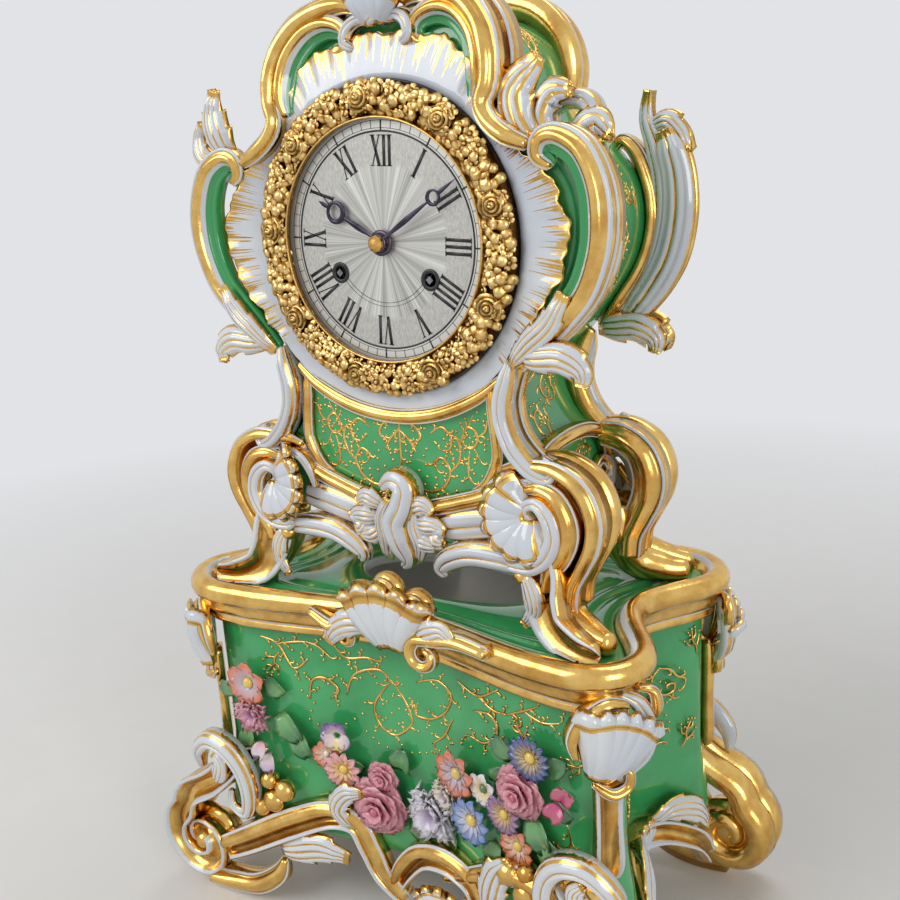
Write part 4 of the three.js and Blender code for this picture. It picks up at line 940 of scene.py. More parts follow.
# %% Finish of the ruffle
def ruffle_finish():
    material, tree, output = new_finish("ruffle_strokes")
    uv = add(tree, "ShaderNodeTexCoord").outputs["UV"]
    strokes = noise(tree, 1.0, 0.0, 0.5, vector=uv, stretch=(760.0, 1.2, 1.0))
    long_strokes = math_node(tree, "POWER", steeper(tree, strokes, 0.3, 2.4, clamp=True), 2.0)
    lobes = noise(tree, 1.0, 2.0, 0.5, vector=uv, stretch=(40.0, 1.0, 1.0))
    reach = math_node(tree, "MULTIPLY", long_strokes, math_node(tree, "MULTIPLY", lobes, 1.35))
    start = math_node(tree, "SUBTRACT", 0.955, reach)
    factor = math_node(tree, "ADD", steeper(tree, attribute(tree, "gilt"), start, 18.0), 0.5, clamp=True)
    mottled = noise(tree, 22.0, 2.0)
    white = ramp(tree, mottled, [(0.3, linear(196, 204, 218)), (0.7, linear(220, 224, 228))])
    gold = gilding(tree, 0.24, math_node(tree, "ADD", strokes, 0.66))
    mixed = add(tree, "ShaderNodeMixShader", {"Fac": factor, 1: glaze(tree, white, 0.08), 2: gold})
    tree.links.new(mixed.outputs[0], output.inputs["Surface"])
    return material


RUFFLE_STROKES = ruffle_finish()


# %% Ruffle
RUFFLE_REACH = [
    (-90, 63), (-75, 63.2), (-60, 63.8), (-45, 63.8), (-35, 63.5), (-25, 65.5), (-15, 69.5), (-8, 72.5),
    (-2, 74.5), (4, 74.8), (12, 73.2), (20, 69.2), (28, 64.8), (35, 62.2), (42, 61.5), (48, 64), (54, 68),
    (60, 70.8), (68, 72), (78, 71), (90, 71),
]


def frilled(angle):
    """0 round the foot of the dial, where the surround is smooth, and 1 where the frill is full."""
    return max(0.0, min(1.0, (math.sin(angle) + 0.72) / 0.3))


def ruffle_reach(angle):
    turn = math.degrees(math.asin(max(-1.0, min(1.0, math.sin(angle)))))
    for (a, reach_a), (b, reach_b) in zip(RUFFLE_REACH, RUFFLE_REACH[1:]):
        if turn <= b:
            return reach_a + (reach_b - reach_a) * swell((turn - a) / (b - a))
    return RUFFLE_REACH[-1][1]


def dial_ruffle():
    bm = new_form()
    inner, sides = 55.0, 640
    rows, out = [], []

    def ring(share, lift, mark, inset=0.0):
        row, marks = [], []
        for k in range(sides):
            angle = 2 * math.pi * k / sides
            full = frilled(angle)
            coarse = 0.8 * math.sin(23 * angle + 1.3 * math.sin(5 * angle))
            teeth = full * (coarse + 0.35 * math.sin(97 * angle))
            reach = ruffle_reach(angle) + teeth * share ** 5 - inset
            radius = inner + (reach - inner) * share
            flutes = 0.0
            if lift > 0.3:
                flutes = full * 0.5 * math.sin(46 * angle + 2 * math.sin(3 * angle)) * share ** 2
            x, z = radius * math.cos(angle), radius * math.sin(angle)
            y = CASE_FRONT - lift * (0.45 + 0.55 * full) - flutes
            row.append(Vector((x, y + (leant(y, z) - y) * share, DIAL_Z + z)))
            marks.append(mark * full)
        rows.append(row)
        out.append(marks)

    ring(0.0, 0.25, 0.0)
    for share in (0.16, 0.26, 0.4, 0.54, 0.68, 0.8, 0.9, 0.96):
        ring(share, 0.8 + 3.4 * share ** 2, share)
    ring(1.0, 3.9, 1.0)
    ring(1.0, 2.6, 1.0, 0.3)
    ring(1.0, 0.2, 1.0, 1.4)
    ring(0.5, 0.2, 0.9)
    ring(0.0, 0.15, 0.0)
    skin(bm, rows, out, loop=True)
    return finish_piece(bm, "dial_ruffle", RUFFLE_STROKES, "clock_case", ["dial_surround"])


dial_ruffle()

# %% [markdown]
# ## Crests, wings and mouldings
#
# Two big C-scrolls frame the head, with a small rocaille between them, and the same again stands on the
# back of the case. Between the scroll's rolls and the ruffle the ground is green, so the sections below
# have a green hollow. Points are given from the dial's centre. On the head they follow the leaning
# front, and lower down the front is upright.

# %% Points on the front of the case
def on_case(points, proud, lean=False):
    placed = []
    for x, z, share in points:
        y = CASE_FRONT - proud
        placed.append((x, leant(y, z) if lean else y, DIAL_Z + z, share))
    return placed


def flip(bm, side=1, rear=False):
    """Mirrors the right-hand form to the left, and takes a front form to the back of the case."""
    if side < 0:
        bmesh.ops.scale(bm, vec=(-1, 1, 1), verts=bm.verts)
    if rear:
        bmesh.ops.scale(bm, vec=(1, -1, 1), verts=bm.verts)
        bmesh.ops.translate(bm, vec=(0, (CASE_FRONT + CASE_BACK) * MM, 0), verts=bm.verts)


HOLLOW = [
    (-1, -0.4, 1), (-1.02, 0.35, 1), (-0.93, 0.62, 0), (-0.8, 0.66, 0), (-0.7, 0.55, 1), (-0.45, 0.9, 1),
    (-0.15, 1, 1), (0.1, 0.8, 1), (0.2, 0.62, 0), (0.32, 0.58, 0), (0.42, 0.4, -1), (0.65, 0.25, -1),
    (0.85, 0.4, -1), (1, 0.2, -1), (1, -0.4, -1),
]


# %% Crests
def crest(rear):
    bm = new_form()
    lean = not rear
    outer = [
        (10, 79.5, 0.5), (16, 81.5, 0.8), (24.5, 80.8, 1), (35, 76.8, 1.1), (42.5, 69, 1.15),
        (46, 59.5, 1.15), (46.4, 51, 1.0), (44.6, 44, 0.9), (47.5, 38.4, 0.85), (54, 33.6, 0.8),
        (61, 30.5, 0.55),
    ]
    inner = [
        (21.5, 67, 0.35), (17.5, 66.4, 0.5), (15.2, 69.5, 0.6), (17.2, 73.4, 0.75), (24, 75.2, 0.9),
        (31.5, 73, 1), (37.6, 67, 1.05), (40.6, 59.5, 1.05), (41.2, 51.5, 0.95), (40, 46, 0.6),
    ]
    for way in (1, -1):
        band(bm, on_case(outer, 3, lean), 4.2, 7.5, ROLL, 60)
        behind = [(x * 1.02, z * 1.005, share) for x, z, share in outer]
        band(bm, on_case(behind, -5, lean), 4.4, 8, ROLL, 54)
        band(bm, on_case(inner, 1.5, lean), 5.0, 7.5, HOLLOW, 54)
        leaf(
            bm, on_case([(12, 80, 0.5), (8, 84, 1), (6, 89, 0.9), (8, 92.5, 0.35)], 3, lean), 4.6, 4.5,
            lobes=2,
        )
        roll = [(2, 74, 0.5), (8, 75.5, 0.9), (12.5, 73, 1), (13.5, 68.5, 0.9), (10.5, 66.5, 0.6)]
        band(bm, on_case(roll, 3.5, lean), 2.6, 4.5, WHITE_STEM, 26)
        if way > 0:
            flip(bm, -1)
    x, y, z, _ = on_case([(0, 69, 1)], 4.5, lean)[0]
    shell(bm, x, y + 2, z + 4, 14, 40, 140, 5, 6)
    leaf(
        bm, on_case([(-4, 74, 0.5), (0, 77, 1), (3, 82, 0.9), (1, 87, 0.35)], 7, lean), 4.4, 4, lobes=2,
        curl=0.4,
    )
    flip(bm, rear=rear)
    name = "rear_crest" if rear else "front_crest"
    return finish_piece(bm, name + "_scrolls", WHITE_AND_GOLD, "clock_case", [name])


crest(False)
crest(True)


# %% Wings
def wing(side, rear, name):
    bm = new_form()
    if rear:
        main = [
            (63, 27, 0.4), (66.5, 30.5, 0.7), (71.5, 27, 0.85), (75, 20, 0.95), (78, 10, 1.0),
            (78, -2, 1.0), (74, -14, 1.0), (66, -26, 0.95), (57.5, -37, 0.6),
        ]
        band(bm, on_case(main, 1.5), 3.5, 6, two_faced(ROLL), 60)
        inner = [
            (60, -38, 0.4), (70, -28, 0.85), (78, -14, 1.0), (82, 2, 1.0), (82, 16, 0.95), (79, 28, 0.8),
            (76, 38, 0.6), (77, 47, 0.3),
        ]
        outer = [
            (62, -40, 0.35), (74, -28, 0.85), (84, -13, 1.0), (88, 2, 1.0), (88, 16, 0.95), (85.5, 27, 0.8),
            (83, 33, 0.4),
        ]
        brow = [(76, 33, 0.5), (83, 36, 0.9), (88, 32, 0.8), (91, 26, 0.4)]
        for facing in (-1, 1):
            leaf(bm, on_case(outer, 0.5), 7.6, 5.5, (0, facing, 0), lobes=0, ribs=3, steps=44, reach=0.24)
            leaf(
                bm, on_case(inner, 1.0 + facing), 5.4, 5.5, (0, facing, 0), lobes=0, ribs=2, steps=44,
                reach=0.3,
            )
            leaf(bm, on_case(brow, 1.5), 4.6, 5, (0, facing, 0), lobes=2)
    else:
        main = [
            (69, 24, 0.45), (65.5, 27, 0.7), (67, 31, 0.85), (72, 31.5, 0.95), (79, 27, 1.05),
            (83.5, 18, 1.1), (85, 8, 1.15), (84, -3, 1.1), (79.5, -15, 1.05), (72, -24, 1), (64, -32, 0.9),
            (55, -41, 0.6),
        ]
        band(bm, on_case(main, 2.5), 5.4, 6.5, HOLLOW, 64)
        band(bm, on_case([(x + 1.2, z, s) for x, z, s in main[2:-1]], 0.5), 5.2, 5.5, ROLL, 50)
        strand = [
            (80, 24, 0.3), (85.5, 14, 0.8), (88, 2, 1.0), (85, -10, 1.0), (78.5, -20, 0.8), (70, -29, 0.4),
        ]
        leaf(bm, on_case(strand, -1), 3.6, 5, (0.45, -0.9, 0), lobes=5, ribs=2, steps=30)
    if not rear and side > 0:
        leaf(
            bm, on_case([(62, 29, 0.6), (55.5, 38, 1), (54, 48, 1), (62, 56.5, 0.3)], -2, True), 7.0, 6,
            lobes=2, ribs=3, reach=0.95,
        )
        leaf(
            bm, on_case([(66, 30, 0.6), (62, 38, 1), (65, 46, 0.9), (72, 46, 0.4)], -6, True), 5.5, 6,
            lobes=2, ribs=2, reach=0.9,
        )
        curl = [
            (62, 34, 0.4), (61.7, 40.5, 0.8), (66.5, 44, 1), (74.4, 42.6, 1), (77, 37, 0.9),
            (71.5, 35.5, 0.6),
        ]
        band(bm, on_case(curl, -14), 3.4, 6, WHITE_STEM, 40)
        leaf(
            bm, on_case([(70, 31, 0.6), (75, 35, 1), (80, 36.5, 0.9), (84, 31.5, 0.4)], -11, True), 5, 6,
            lobes=2, ribs=2,
        )
    elif not rear:
        leaf(bm, on_case([(70, 33, 0.7), (73, 41, 1.1), (75, 49, 0.9), (73, 57, 0.35)], 1), 6.5, 6, lobes=3)
        leaf(bm, on_case([(76, 30, 0.6), (84, 34, 1), (86, 41, 0.7), (83, 46, 0.3)], 0), 5, 5, lobes=2)
    curl = [(56, -38, 0.6), (64, -37.5, 1), (73, -37, 1.1), (80, -41, 0.8), (80, -46, 0.35)]
    leaf(bm, on_case(curl, 5), 5.5, 6, lobes=3)
    if rear:
        leaf(bm, on_case(curl, 0), 5.5, 6, (0, 1, 0), lobes=3)
    else:
        leaf(
            bm, on_case([(53, -41, 0.4), (61, -33, 1), (69, -26, 1), (75, -16, 0.5)], 6.5), 4.5, 5, lobes=4,
        )
    flip(bm, side, rear)
    return finish_piece(bm, name + "_scroll", WHITE_AND_GOLD, "clock_case", [name])


for side, depth, corner in CORNERS:
    wing(side, depth < 0, corner + "_wing")

# %% [markdown]
# At the waist a white stem with gilt lines bows in along each edge of the case and rolls up on the leg.
# A gilt roll goes with it on the flank, another frames the green panel, and a crescent lies under the
# dial.

# %% Edge mouldings
def edge_moulding(rear):
    bm = new_form()
    for way in (1, -1):
        stem = [
            (50, -40, 0.5), (48.5, -46, 0.9), (46.5, -54, 1), (47, -62, 1), (51, -71, 1.05), (58, -78, 1),
            (64, -80, 0.8), (66.5, -76, 0.6), (62, -73, 0.4),
        ]
        band(bm, on_case([(x + 1.6, z, s) for x, z, s in stem], 3), 3.3, 6.5, WHITE_STEM, 44)
        frame_side = [
            (41.5, -50, 0.6), (42.4, -58, 1), (43.4, -68, 1), (43.4, -77, 1), (39, -86, 1), (33, -91, 0.9),
            (24, -95.5, 0.6),
        ]
        band(bm, on_case(frame_side, 0.4), 2.4, 3.4, ROLL, 44)
        side_line = [
            (54.5, -38, 0.6), (50, -47, 0.9), (48, -57, 1), (51, -68, 1), (59, -77, 1), (66, -79.5, 0.9),
            (72, -76, 0.5),
        ]
        band(bm, on_case(side_line, -4.5), 3.6, 5, ROLL, 36)
        if way > 0:
            flip(bm, -1)
    crescent = [
        (-46, -47, 0.5), (-36, -54.5, 0.9), (-19, -61.5, 1), (0, -64, 1), (19, -61.5, 1), (36, -54.5, 0.9),
        (46, -47, 0.5),
    ]
    band(bm, on_case(crescent, 0.6), 3.0, 3.6, ROLL, 50)
    flip(bm, rear=rear)
    name = "rear" if rear else "front"
    return finish_piece(bm, f"{name}_waist_mouldings", WHITE_AND_GOLD, "clock_case")


edge_moulding(False)
edge_moulding(True)


# %% [markdown]
# Over the open foot of each side stands an arch between the front leg and the rear leg, with a green
# panel under it and small white scrolls along the lower edge.

# %% Side arches of the case
def side_arches():
    bm = new_form()
    for way in (1, -1):
        arch = [
            (57, -30, 209, 0.5), (57, -24, 215.5, 0.9), (57, -10, 217.5, 1), (57, 8, 216.5, 1),
            (57, 22, 212, 1), (57, 28, 204, 0.9), (57, 29, 195, 0.5),
        ]
        band(bm, arch, 3.0, 5, ROLL, 44, normal=(1, 0, 0))
        low = [
            (57, -26, 200, 0.4), (57, -21, 193, 0.8), (57, -10, 189.5, 1), (57, 0, 190.5, 1),
            (57, 4, 196, 0.8), (57, -1, 198.5, 0.4),
        ]
        band(bm, low, 3.2, 5.5, WHITE_STEM, 36, normal=(1, 0, 0))
        low = [
            (57, 2, 191.5, 0.4), (57, 11, 188.5, 0.9), (57, 21, 190, 1), (57, 27, 196, 0.9),
            (57, 23, 201, 0.6), (57, 19, 198, 0.4),
        ]
        band(bm, low, 3.2, 6, CHANNEL, 36, normal=(1, 0, 0))
        fold = [(58, -14, 193, 0.5), (60, -9, 199, 1), (60, -2, 202, 0.9), (59, 4, 200, 0.4)]
        leaf(bm, fold, 4.2, 4.5, (1, 0, 0), lobes=3, steps=18)
        if way > 0:
            flip(bm, -1)
    return finish_piece(bm, "side_arches", WHITE_AND_GOLD, "clock_case")


side_arches()

# %% [markdown]
# ## Legs and garland
#
# A leg is a white shell held in C-scrolls, with a gilt foot below it that kicks outwards. Between the
# front legs hangs a garland of leaves with a rocaille in its middle.

# %% Legs
def leg(side, rear, name):
    bm = new_form()
    white_c = [
        (60.5, -95.5, 0.35), (57.5, -93, 0.5), (58.2, -89.8, 0.65), (62.5, -88.6, 0.8), (67.2, -92.6, 1),
        (68.9, -100, 1.05), (65.6, -107.4, 1.05), (59.4, -111.6, 1), (51.5, -112, 0.9),
    ]
    band(bm, on_case(white_c, 7), 3.8, 5.5, WHITE_STEM, 60)
    gold_c = [
        (57, -84.5, 0.5), (62.5, -83.4, 0.8), (69, -85.6, 1), (73.2, -92, 1.1), (74, -99.5, 1.1),
        (71, -107.5, 1), (66, -114, 0.9), (64, -121, 0.7),
    ]
    band(bm, on_case(gold_c, 5), 3.6, 6, ROLL, 50)
    outer_c = [
        (47, -80, 0.45), (53, -78.6, 0.7), (60, -78.2, 0.85), (68, -79, 1), (76, -84, 1.1),
        (79.6, -92.5, 1.15), (79, -101, 1.1), (75.4, -109.5, 1), (71.5, -118, 0.95), (70.5, -127, 0.9),
    ]
    band(bm, on_case(outer_c, 1.5), 5.6, 8, WIDE_SCROLL, 60)
    band(bm, on_case(outer_c[2:], -5), 6.0, 7, ROLL, 48, normal=(0, 1, 0))
    wrap = [(40.5, -96, 0.4), (41, -89, 0.9), (45, -83.5, 1), (51.5, -81.6, 0.9), (58, -83.4, 0.5)]
    band(bm, on_case(wrap, 4), 2.2, 4.5, WHITE_STEM, 30)
    x, y, z, _ = on_case([(58.5, -93.5, 1)], 4.5)[0]
    shell(bm, x, y, z, 17.5, 112, 312, 8, 6.5, flat=0.12)
    shin = [
        (62, -108, y + 2, 1.0), (64, -116, y + 1, 1.1), (65.5, -125, y - 2, 1), (70, -132.5, y - 5, 0.9),
        (80, -136.6, y - 9, 0.8), (88, -136.4, y - 12, 0.5),
    ]
    line = [(x, y, DIAL_Z + z, s) for x, z, y, s in shin]
    band(bm, line, 8.6, 6, CHANNEL, 30, normal=(-0.35, -0.94, 0))
    line = [(x + 1, y + 8, z + (0.6 if i > 3 else 0), s) for i, (x, y, z, s) in enumerate(line)]
    band(bm, line, 8.2, 7.5, ROUND, 30)
    leaf(
        bm, on_case([(55, -114, 0.5), (59, -121, 1), (60, -129, 0.9), (56, -135, 0.4)], 7), 4.2, 4, lobes=2,
    )
    knob(bm, *on_case([(55, -117, 1)], 7)[0][:3], 3.6, 3.2, 3.2)
    for vert in bm.verts:
        vert.co.z = max(vert.co.z, SOLE_HEIGHT)
    flip(bm, side, rear)
    return finish_piece(bm, name + "_scroll", WHITE_AND_GOLD, "clock_case", [name])


for side, depth, corner in CORNERS:
    leg(side, depth < 0, corner + "_leg")


# %% Garland between the front legs
def garland():
    bm = new_form()
    for way in (1, -1):
        lower = [
            (54, -114, 0.8), (44, -112.5, 1), (32, -113, 1), (23, -116.5, 0.95), (18.5, -121, 0.7),
            (20, -124, 0.4),
        ]
        band(bm, on_case(lower, 3.5), 5, 5.5, WHITE_STEM, 36)
        bar = [(46, -100, 0.9), (36, -101.5, 1), (24, -104, 1), (18, -105.5, 0.8)]
        band(bm, on_case(bar, 1), 6.2, 4, WHITE_STEM, 20)
        upper = [
            (47, -80, 0.5), (45, -86, 0.8), (38, -90.5, 1), (28, -94, 1), (18, -97, 1), (9, -99, 0.8),
            (6, -96, 0.4),
        ]
        band(bm, on_case(upper, 1.5), 3.4, 4.5, ROLL, 36)
        tufts = ((10, -97, 8.5, 30), (13, -104, 9, 0), (11, -111, 8, -35), (17, -109, 7, -60))
        for k, (x, z, size, turn) in enumerate(tufts):
            a = math.radians(turn)
            dx, dz = math.cos(a) * size, math.sin(a) * size
            spine = [
                (x - dx * 0.6, z - dz * 0.6, 0.5), (x, z, 1), (x + dx * 0.5, z + dz * 0.2, 0.9),
                (x + dx, z - 1.5, 0.35),
            ]
            leaf(bm, on_case(spine, 4.5 - 0.5 * k), 4.6, 5, lobes=2, steps=14)
        if way > 0:
            flip(bm, -1)
    centre = [
        (-5, -91, 0.5), (1, -87.5, 0.9), (6, -90, 1), (4.5, -97, 1.1), (1, -104, 1.15), (2.5, -112, 1.05),
        (5, -119, 0.7), (2, -122.5, 0.35),
    ]
    band(bm, on_case(centre, 5), 5.2, 7, WHITE_STEM, 44)
    leaf(bm, on_case([(-6, -122, 0.5), (-5, -113, 1), (-6, -104, 1), (-3, -96, 0.4)], 4), 4.5, 5, lobes=3)
    leaf(bm, on_case([(8, -121, 0.4), (10, -113, 0.9), (8, -105, 1), (9, -97, 0.4)], 4), 4, 5, lobes=3)
    return finish_piece(
        bm, "front_garland_leaves", WHITE_AND_GOLD, "clock_case", ["front_garland"],
    )


garland()

# %% [markdown]
# ## Bezel
#
# The bezel is a brass casting, fire-gilt and left matt: roses, small five-petalled flowers and leaves
# packed into a wreath. One blossom repeats many times, so each has only a few faces, and an attribute
# darkens the bed and the folds between the petals with painted shade.

# %% Gilt brass of the wreath
def wreath_gilt():
    material, tree, output = new_finish("wreath_gilt")
    height = attribute(tree, "gilt")
    speckle = noise(tree, 900.0, 3.0, 0.6)
    level = math_node(tree, "ADD", height, steeper(tree, speckle, 0.5, 0.5))
    # Low values, on the bed and in the folds of the blossoms, go dark brown: painted shade.
    colour = ramp(tree, level, [
        (0.05, linear(58, 36, 13)), (0.3, linear(138, 100, 48)), (0.6, linear(200, 156, 84)),
        (0.95, linear(242, 212, 146)),
    ])
    metal = add(tree, "ShaderNodeBsdfPrincipled", {
        "Base Color": colour, "Metallic": 1.0, "Roughness": 0.3, "Normal": bump(tree, speckle, 0.5, 0.0003),
    })
    tree.links.new(metal.outputs["BSDF"], output.inputs["Surface"])
    return material


WREATH_GILT = wreath_gilt()


# %% The domed bed and the blossoms on it
def turned_ring(bm, profile, sides, values=None):
    """A ring about the dial's axis. The profile is a closed run of (radius, y)."""
    rows = []
    for radius, y in profile:
        turns = [2 * math.pi * k / sides for k in range(sides)]
        rows.append([Vector((radius * math.cos(a), y, DIAL_Z + radius * math.sin(a))) for a in turns])
    skin(bm, rows, [[v] * sides for v in values] if values else None, loop=True)


def blossom(bm, centre, out, size, turn, kind):
    """kind holds the petals, rings of (reach, height, tone), the cut between petals, sectors and point. The
    tone is painted shade: it is low at the foot of each blossom and between its petals, where the wreath's
    finish turns dark brown.
    """
    petals, rings, cut, sectors, point = kind
    across = Vector((0, 0, 1)).cross(out).normalized()
    up = out.cross(across).normalized()
    rows, values = [], []
    for step, (reach, height, tone) in enumerate(rings):
        row, tones = [], []
        for k in range(sectors):
            a = 2 * math.pi * k / sectors
            petal = abs(math.sin(petals * (a + 0.5 * step * (petals == 3)) / 2)) ** point
            radius = size * reach * (1 - cut * (1 - petal) * reach)
            lift = size * height * (0.84 + 0.16 * petal)
            spin = a + turn
            x, y = radius * math.cos(spin), radius * math.sin(spin)
            row.append(centre + across * x + up * y + out * lift)
            # Darker between the petals: painted shade.
            tones.append(tone * (0.3 + 0.7 * petal))
        rows.append(row)
        values.append(tones)
    skin(bm, rows, values)


FIVE_PETALS = (5, [
    (0.02, 0.4, 1), (0.15, 0.42, 1), (0.21, 0.16, 0), (0.5, 0.24, 0.7), (0.85, 0.34, 1), (1.0, 0.26, 0.9),
    (0.97, -0.1, 0), (0.5, -0.15, 0),
], 0.3, 30, 0.45)
ROSE = (3, [
    (0.02, 0.5, 0.8), (0.15, 0.62, 1), (0.24, 0.3, 0), (0.4, 0.58, 1), (0.5, 0.24, 0), (0.68, 0.46, 1),
    (0.76, 0.12, 0), (1.0, 0.3, 1), (0.96, -0.1, 0),
], 0.2, 18, 0.6)
LEAF_SPRIG = (
    2, [(0.02, 0.3, 0.5), (0.25, 0.4, 1), (0.62, 0.4, 0.8), (1.0, 0.2, 1), (0.9, -0.1, 0)], 0.62, 16, 1.6,
)


def bezel():
    bm = new_form()
    # The bed gets 0 and the inner rim 0.2 to 0.7: painted shade under the blossoms and a painted shadow
    # along the dial's edge.
    turned_ring(bm, [
        (42.5, -33.0), (42.5, -34.6), (42.7, -35.1), (43.1, -35.1), (43.4, -34.6), (43.9, -33.9),
        (46.5, -34.5), (49.7, -34.9), (53.0, -34.4), (55.0, -32.8), (55.6, -30.7), (50.0, -30.5),
        (44.9, -31.0),
    ], 128, [0.2, 0.4, 0.7, 0.7, 0.3, 0, 0, 0, 0, 0, 0.1, 0.1, 0.1])
    dice = random.Random(7)
    circles = ((45.4, 70, 2.6), (47.9, 62, 2.9), (50.6, 64, 3.0), (53.2, 74, 2.7))
    for ring, (radius, count, size) in enumerate(circles):
        for k in range(count):
            a = 2 * math.pi * (k + 0.5 * (ring % 2) + dice.uniform(-0.25, 0.25)) / count
            if ring in (1, 2) and abs((a / (2 * math.pi) * 9 + 0.15) % 1.0 - 0.5) < 0.12:
                continue
            r = radius + dice.uniform(-0.5, 0.5)
            side = (r - 49.7) / 5.6
            radial = Vector((math.cos(a), 0, math.sin(a)))
            tilt = Vector((dice.uniform(-0.35, 0.35), 0, dice.uniform(-0.35, 0.35)))
            out = (Vector((0, -1, 0)) + radial * side * 0.8 + tilt).normalized()
            centre = Vector((0, -35.2 + 1.9 * side * side, DIAL_Z)) + radial * r
            kind = FIVE_PETALS if dice.random() < 0.5 else LEAF_SPRIG
            reach = size * dice.uniform(0.85, 1.2) * (1.3 if kind is LEAF_SPRIG else 1)
            blossom(bm, centre, out, reach, dice.uniform(0, 6.3), kind)
    for k in range(9):
        a = 2 * math.pi * (k + 0.35) / 9
        radial = Vector((math.cos(a), 0, math.sin(a)))
        centre = Vector((0, -34.6, DIAL_Z)) + radial * 49.7
        out = (Vector((0, -1, 0)) + radial * 0.1).normalized()
        blossom(bm, centre, out, 5.3, dice.uniform(0, 6.3), ROSE)
    return finish_piece(bm, "bezel_wreath", WREATH_GILT, "clock_case", ["bezel"])


bezel()

# %% [markdown]
# ## Dial
#
# The dial is silvered brass. Its middle was engine-turned as a sunburst and the ring for the hours was
# left plain, with the grain of the silvering powder in it. A noise that is read at the direction from the
# centre, whatever the distance, gives rays.

# %% Silvered sunburst
SUNBURST_RADIUS, HOUR_RING_RADIUS = 26.5, 38.5


def silvered_dial():
    material, tree, output = new_finish("silvered_sunburst")
    place = add(tree, "ShaderNodeTexCoord").outputs["Object"]
    centred = {"Vector": place, "Location": (0, 0, -DIAL_Z * MM), "Scale": (1, 0, 1)}
    flat = add(tree, "ShaderNodeMapping", centred).outputs["Vector"]
    ray = add(tree, "ShaderNodeVectorMath", {0: flat}, operation="NORMALIZE").outputs["Vector"]
    far = add(tree, "ShaderNodeVectorMath", {0: flat}, operation="LENGTH").outputs["Value"]
    broad = math_node(tree, "MULTIPLY", noise(tree, 7.0, 1.0, 0.4, vector=ray), 0.45)
    narrow = math_node(tree, "MULTIPLY", noise(tree, 46.0, 2.0, 0.6, vector=ray), 0.6)
    rays = math_node(tree, "ADD", broad, narrow)
    sun = ramp(
        tree, rays,
        [(0.4, linear(158, 157, 151)), (0.53, linear(194, 193, 187)), (0.68, linear(224, 224, 218))],
    )
    grain = noise(tree, 1500.0, 2.0, 0.7, stretch=(1.0, 1.0, 0.35))
    plain = ramp(tree, grain, [(0.3, linear(172, 170, 162)), (0.7, linear(206, 205, 198))])
    edge = steeper(tree, far, SUNBURST_RADIUS * MM, 500.0, clamp=True)
    colour = mix_colour(tree, edge, sun, plain)
    rim = steeper(tree, far, HOUR_RING_RADIUS * MM, 2000.0, clamp=True)
    colour = mix_colour(tree, rim, colour, linear(218, 217, 209))
    metal = add(tree, "ShaderNodeBsdfPrincipled", {
        "Base Color": colour, "Metallic": 0.55, "Roughness": 0.42, "Normal": bump(tree, grain, 0.2, 0.0002),
    })
    tree.links.new(metal.outputs["BSDF"], output.inputs["Surface"])
    return material


SILVERED = silvered_dial()


# %% Plain finishes of the movement: one metal, its polish and its fine scratches
def turned_metal(name, dark, bright, roughness, scale=320.0):
    material, tree, output = new_finish(name)
    cloudy = noise(tree, scale / 4, 3.0, 0.6)
    scratches = noise(tree, scale, 4.0, 0.6, stretch=(1.0, 1.0, 6.0))
    colour = ramp(tree, cloudy, [(0.3, dark), (0.7, bright)])
    metal = add(tree, "ShaderNodeBsdfPrincipled", {
        "Base Color": colour, "Metallic": 1.0, "Roughness": roughness,
        "Normal": bump(tree, scratches, 0.15, 0.0002),
    })
    tree.links.new(metal.outputs["BSDF"], output.inputs["Surface"])
    return material


BRASS = turned_metal("movement_brass", linear(176, 128, 62), linear(222, 178, 98), 0.26)
STEEL = turned_metal("movement_steel", linear(112, 114, 118), linear(168, 170, 174), 0.24)
BLUED = turned_metal("blued_steel", linear(40, 37, 50), linear(98, 90, 110), 0.3)
BELL_METAL = turned_metal("bell_bronze", linear(138, 108, 62), linear(186, 152, 96), 0.3, 700.0)
GILT_DOOR = turned_metal("door_gilt", linear(196, 148, 76), linear(224, 178, 102), 0.26, 700.0)


# %% Rings turned on the rear door
DOOR_KNOB_HEIGHT = 4.6


def door_rings():
    """Rings turned on the outside of the door."""
    bm = new_form()
    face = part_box("rear_door")[1][1] / MM - DOOR_KNOB_HEIGHT
    profile = [
        (0.4, -0.3), (0.4, 1.2), (3, 1.1), (5, 0.5), (6, 0.3), (18.5, 0.25), (19, 0.8), (20, 0.8),
        (20.5, 0.25), (33.5, 0.2), (34, 0.8), (35.2, 0.8), (35.7, 0.2), (42.2, 0.2), (42.8, 0.9), (44, 0.9),
        (44.6, 0.1), (44.6, -0.3),
    ]
    turned_ring(bm, [(radius, face + lift) for radius, lift in profile], 96)
    return finish_piece(bm, "door_turned_rings", GILT_DOOR, "rear_door")


door_rings()


# %% Black wax, and the finish of every slot
def black_wax():
    material, tree, output = new_finish("black_wax")
    speckle = noise(tree, 1200.0, 2.0)
    colour = ramp(tree, speckle, [(0.3, linear(16, 15, 18)), (0.7, linear(38, 36, 40))])
    inputs = {"Base Color": colour, "Roughness": 0.4, "Normal": bump(tree, speckle, 0.2, 0.0001)}
    wax = add(tree, "ShaderNodeBsdfPrincipled", inputs)
    tree.links.new(wax.outputs["BSDF"], output.inputs["Surface"])
    return material


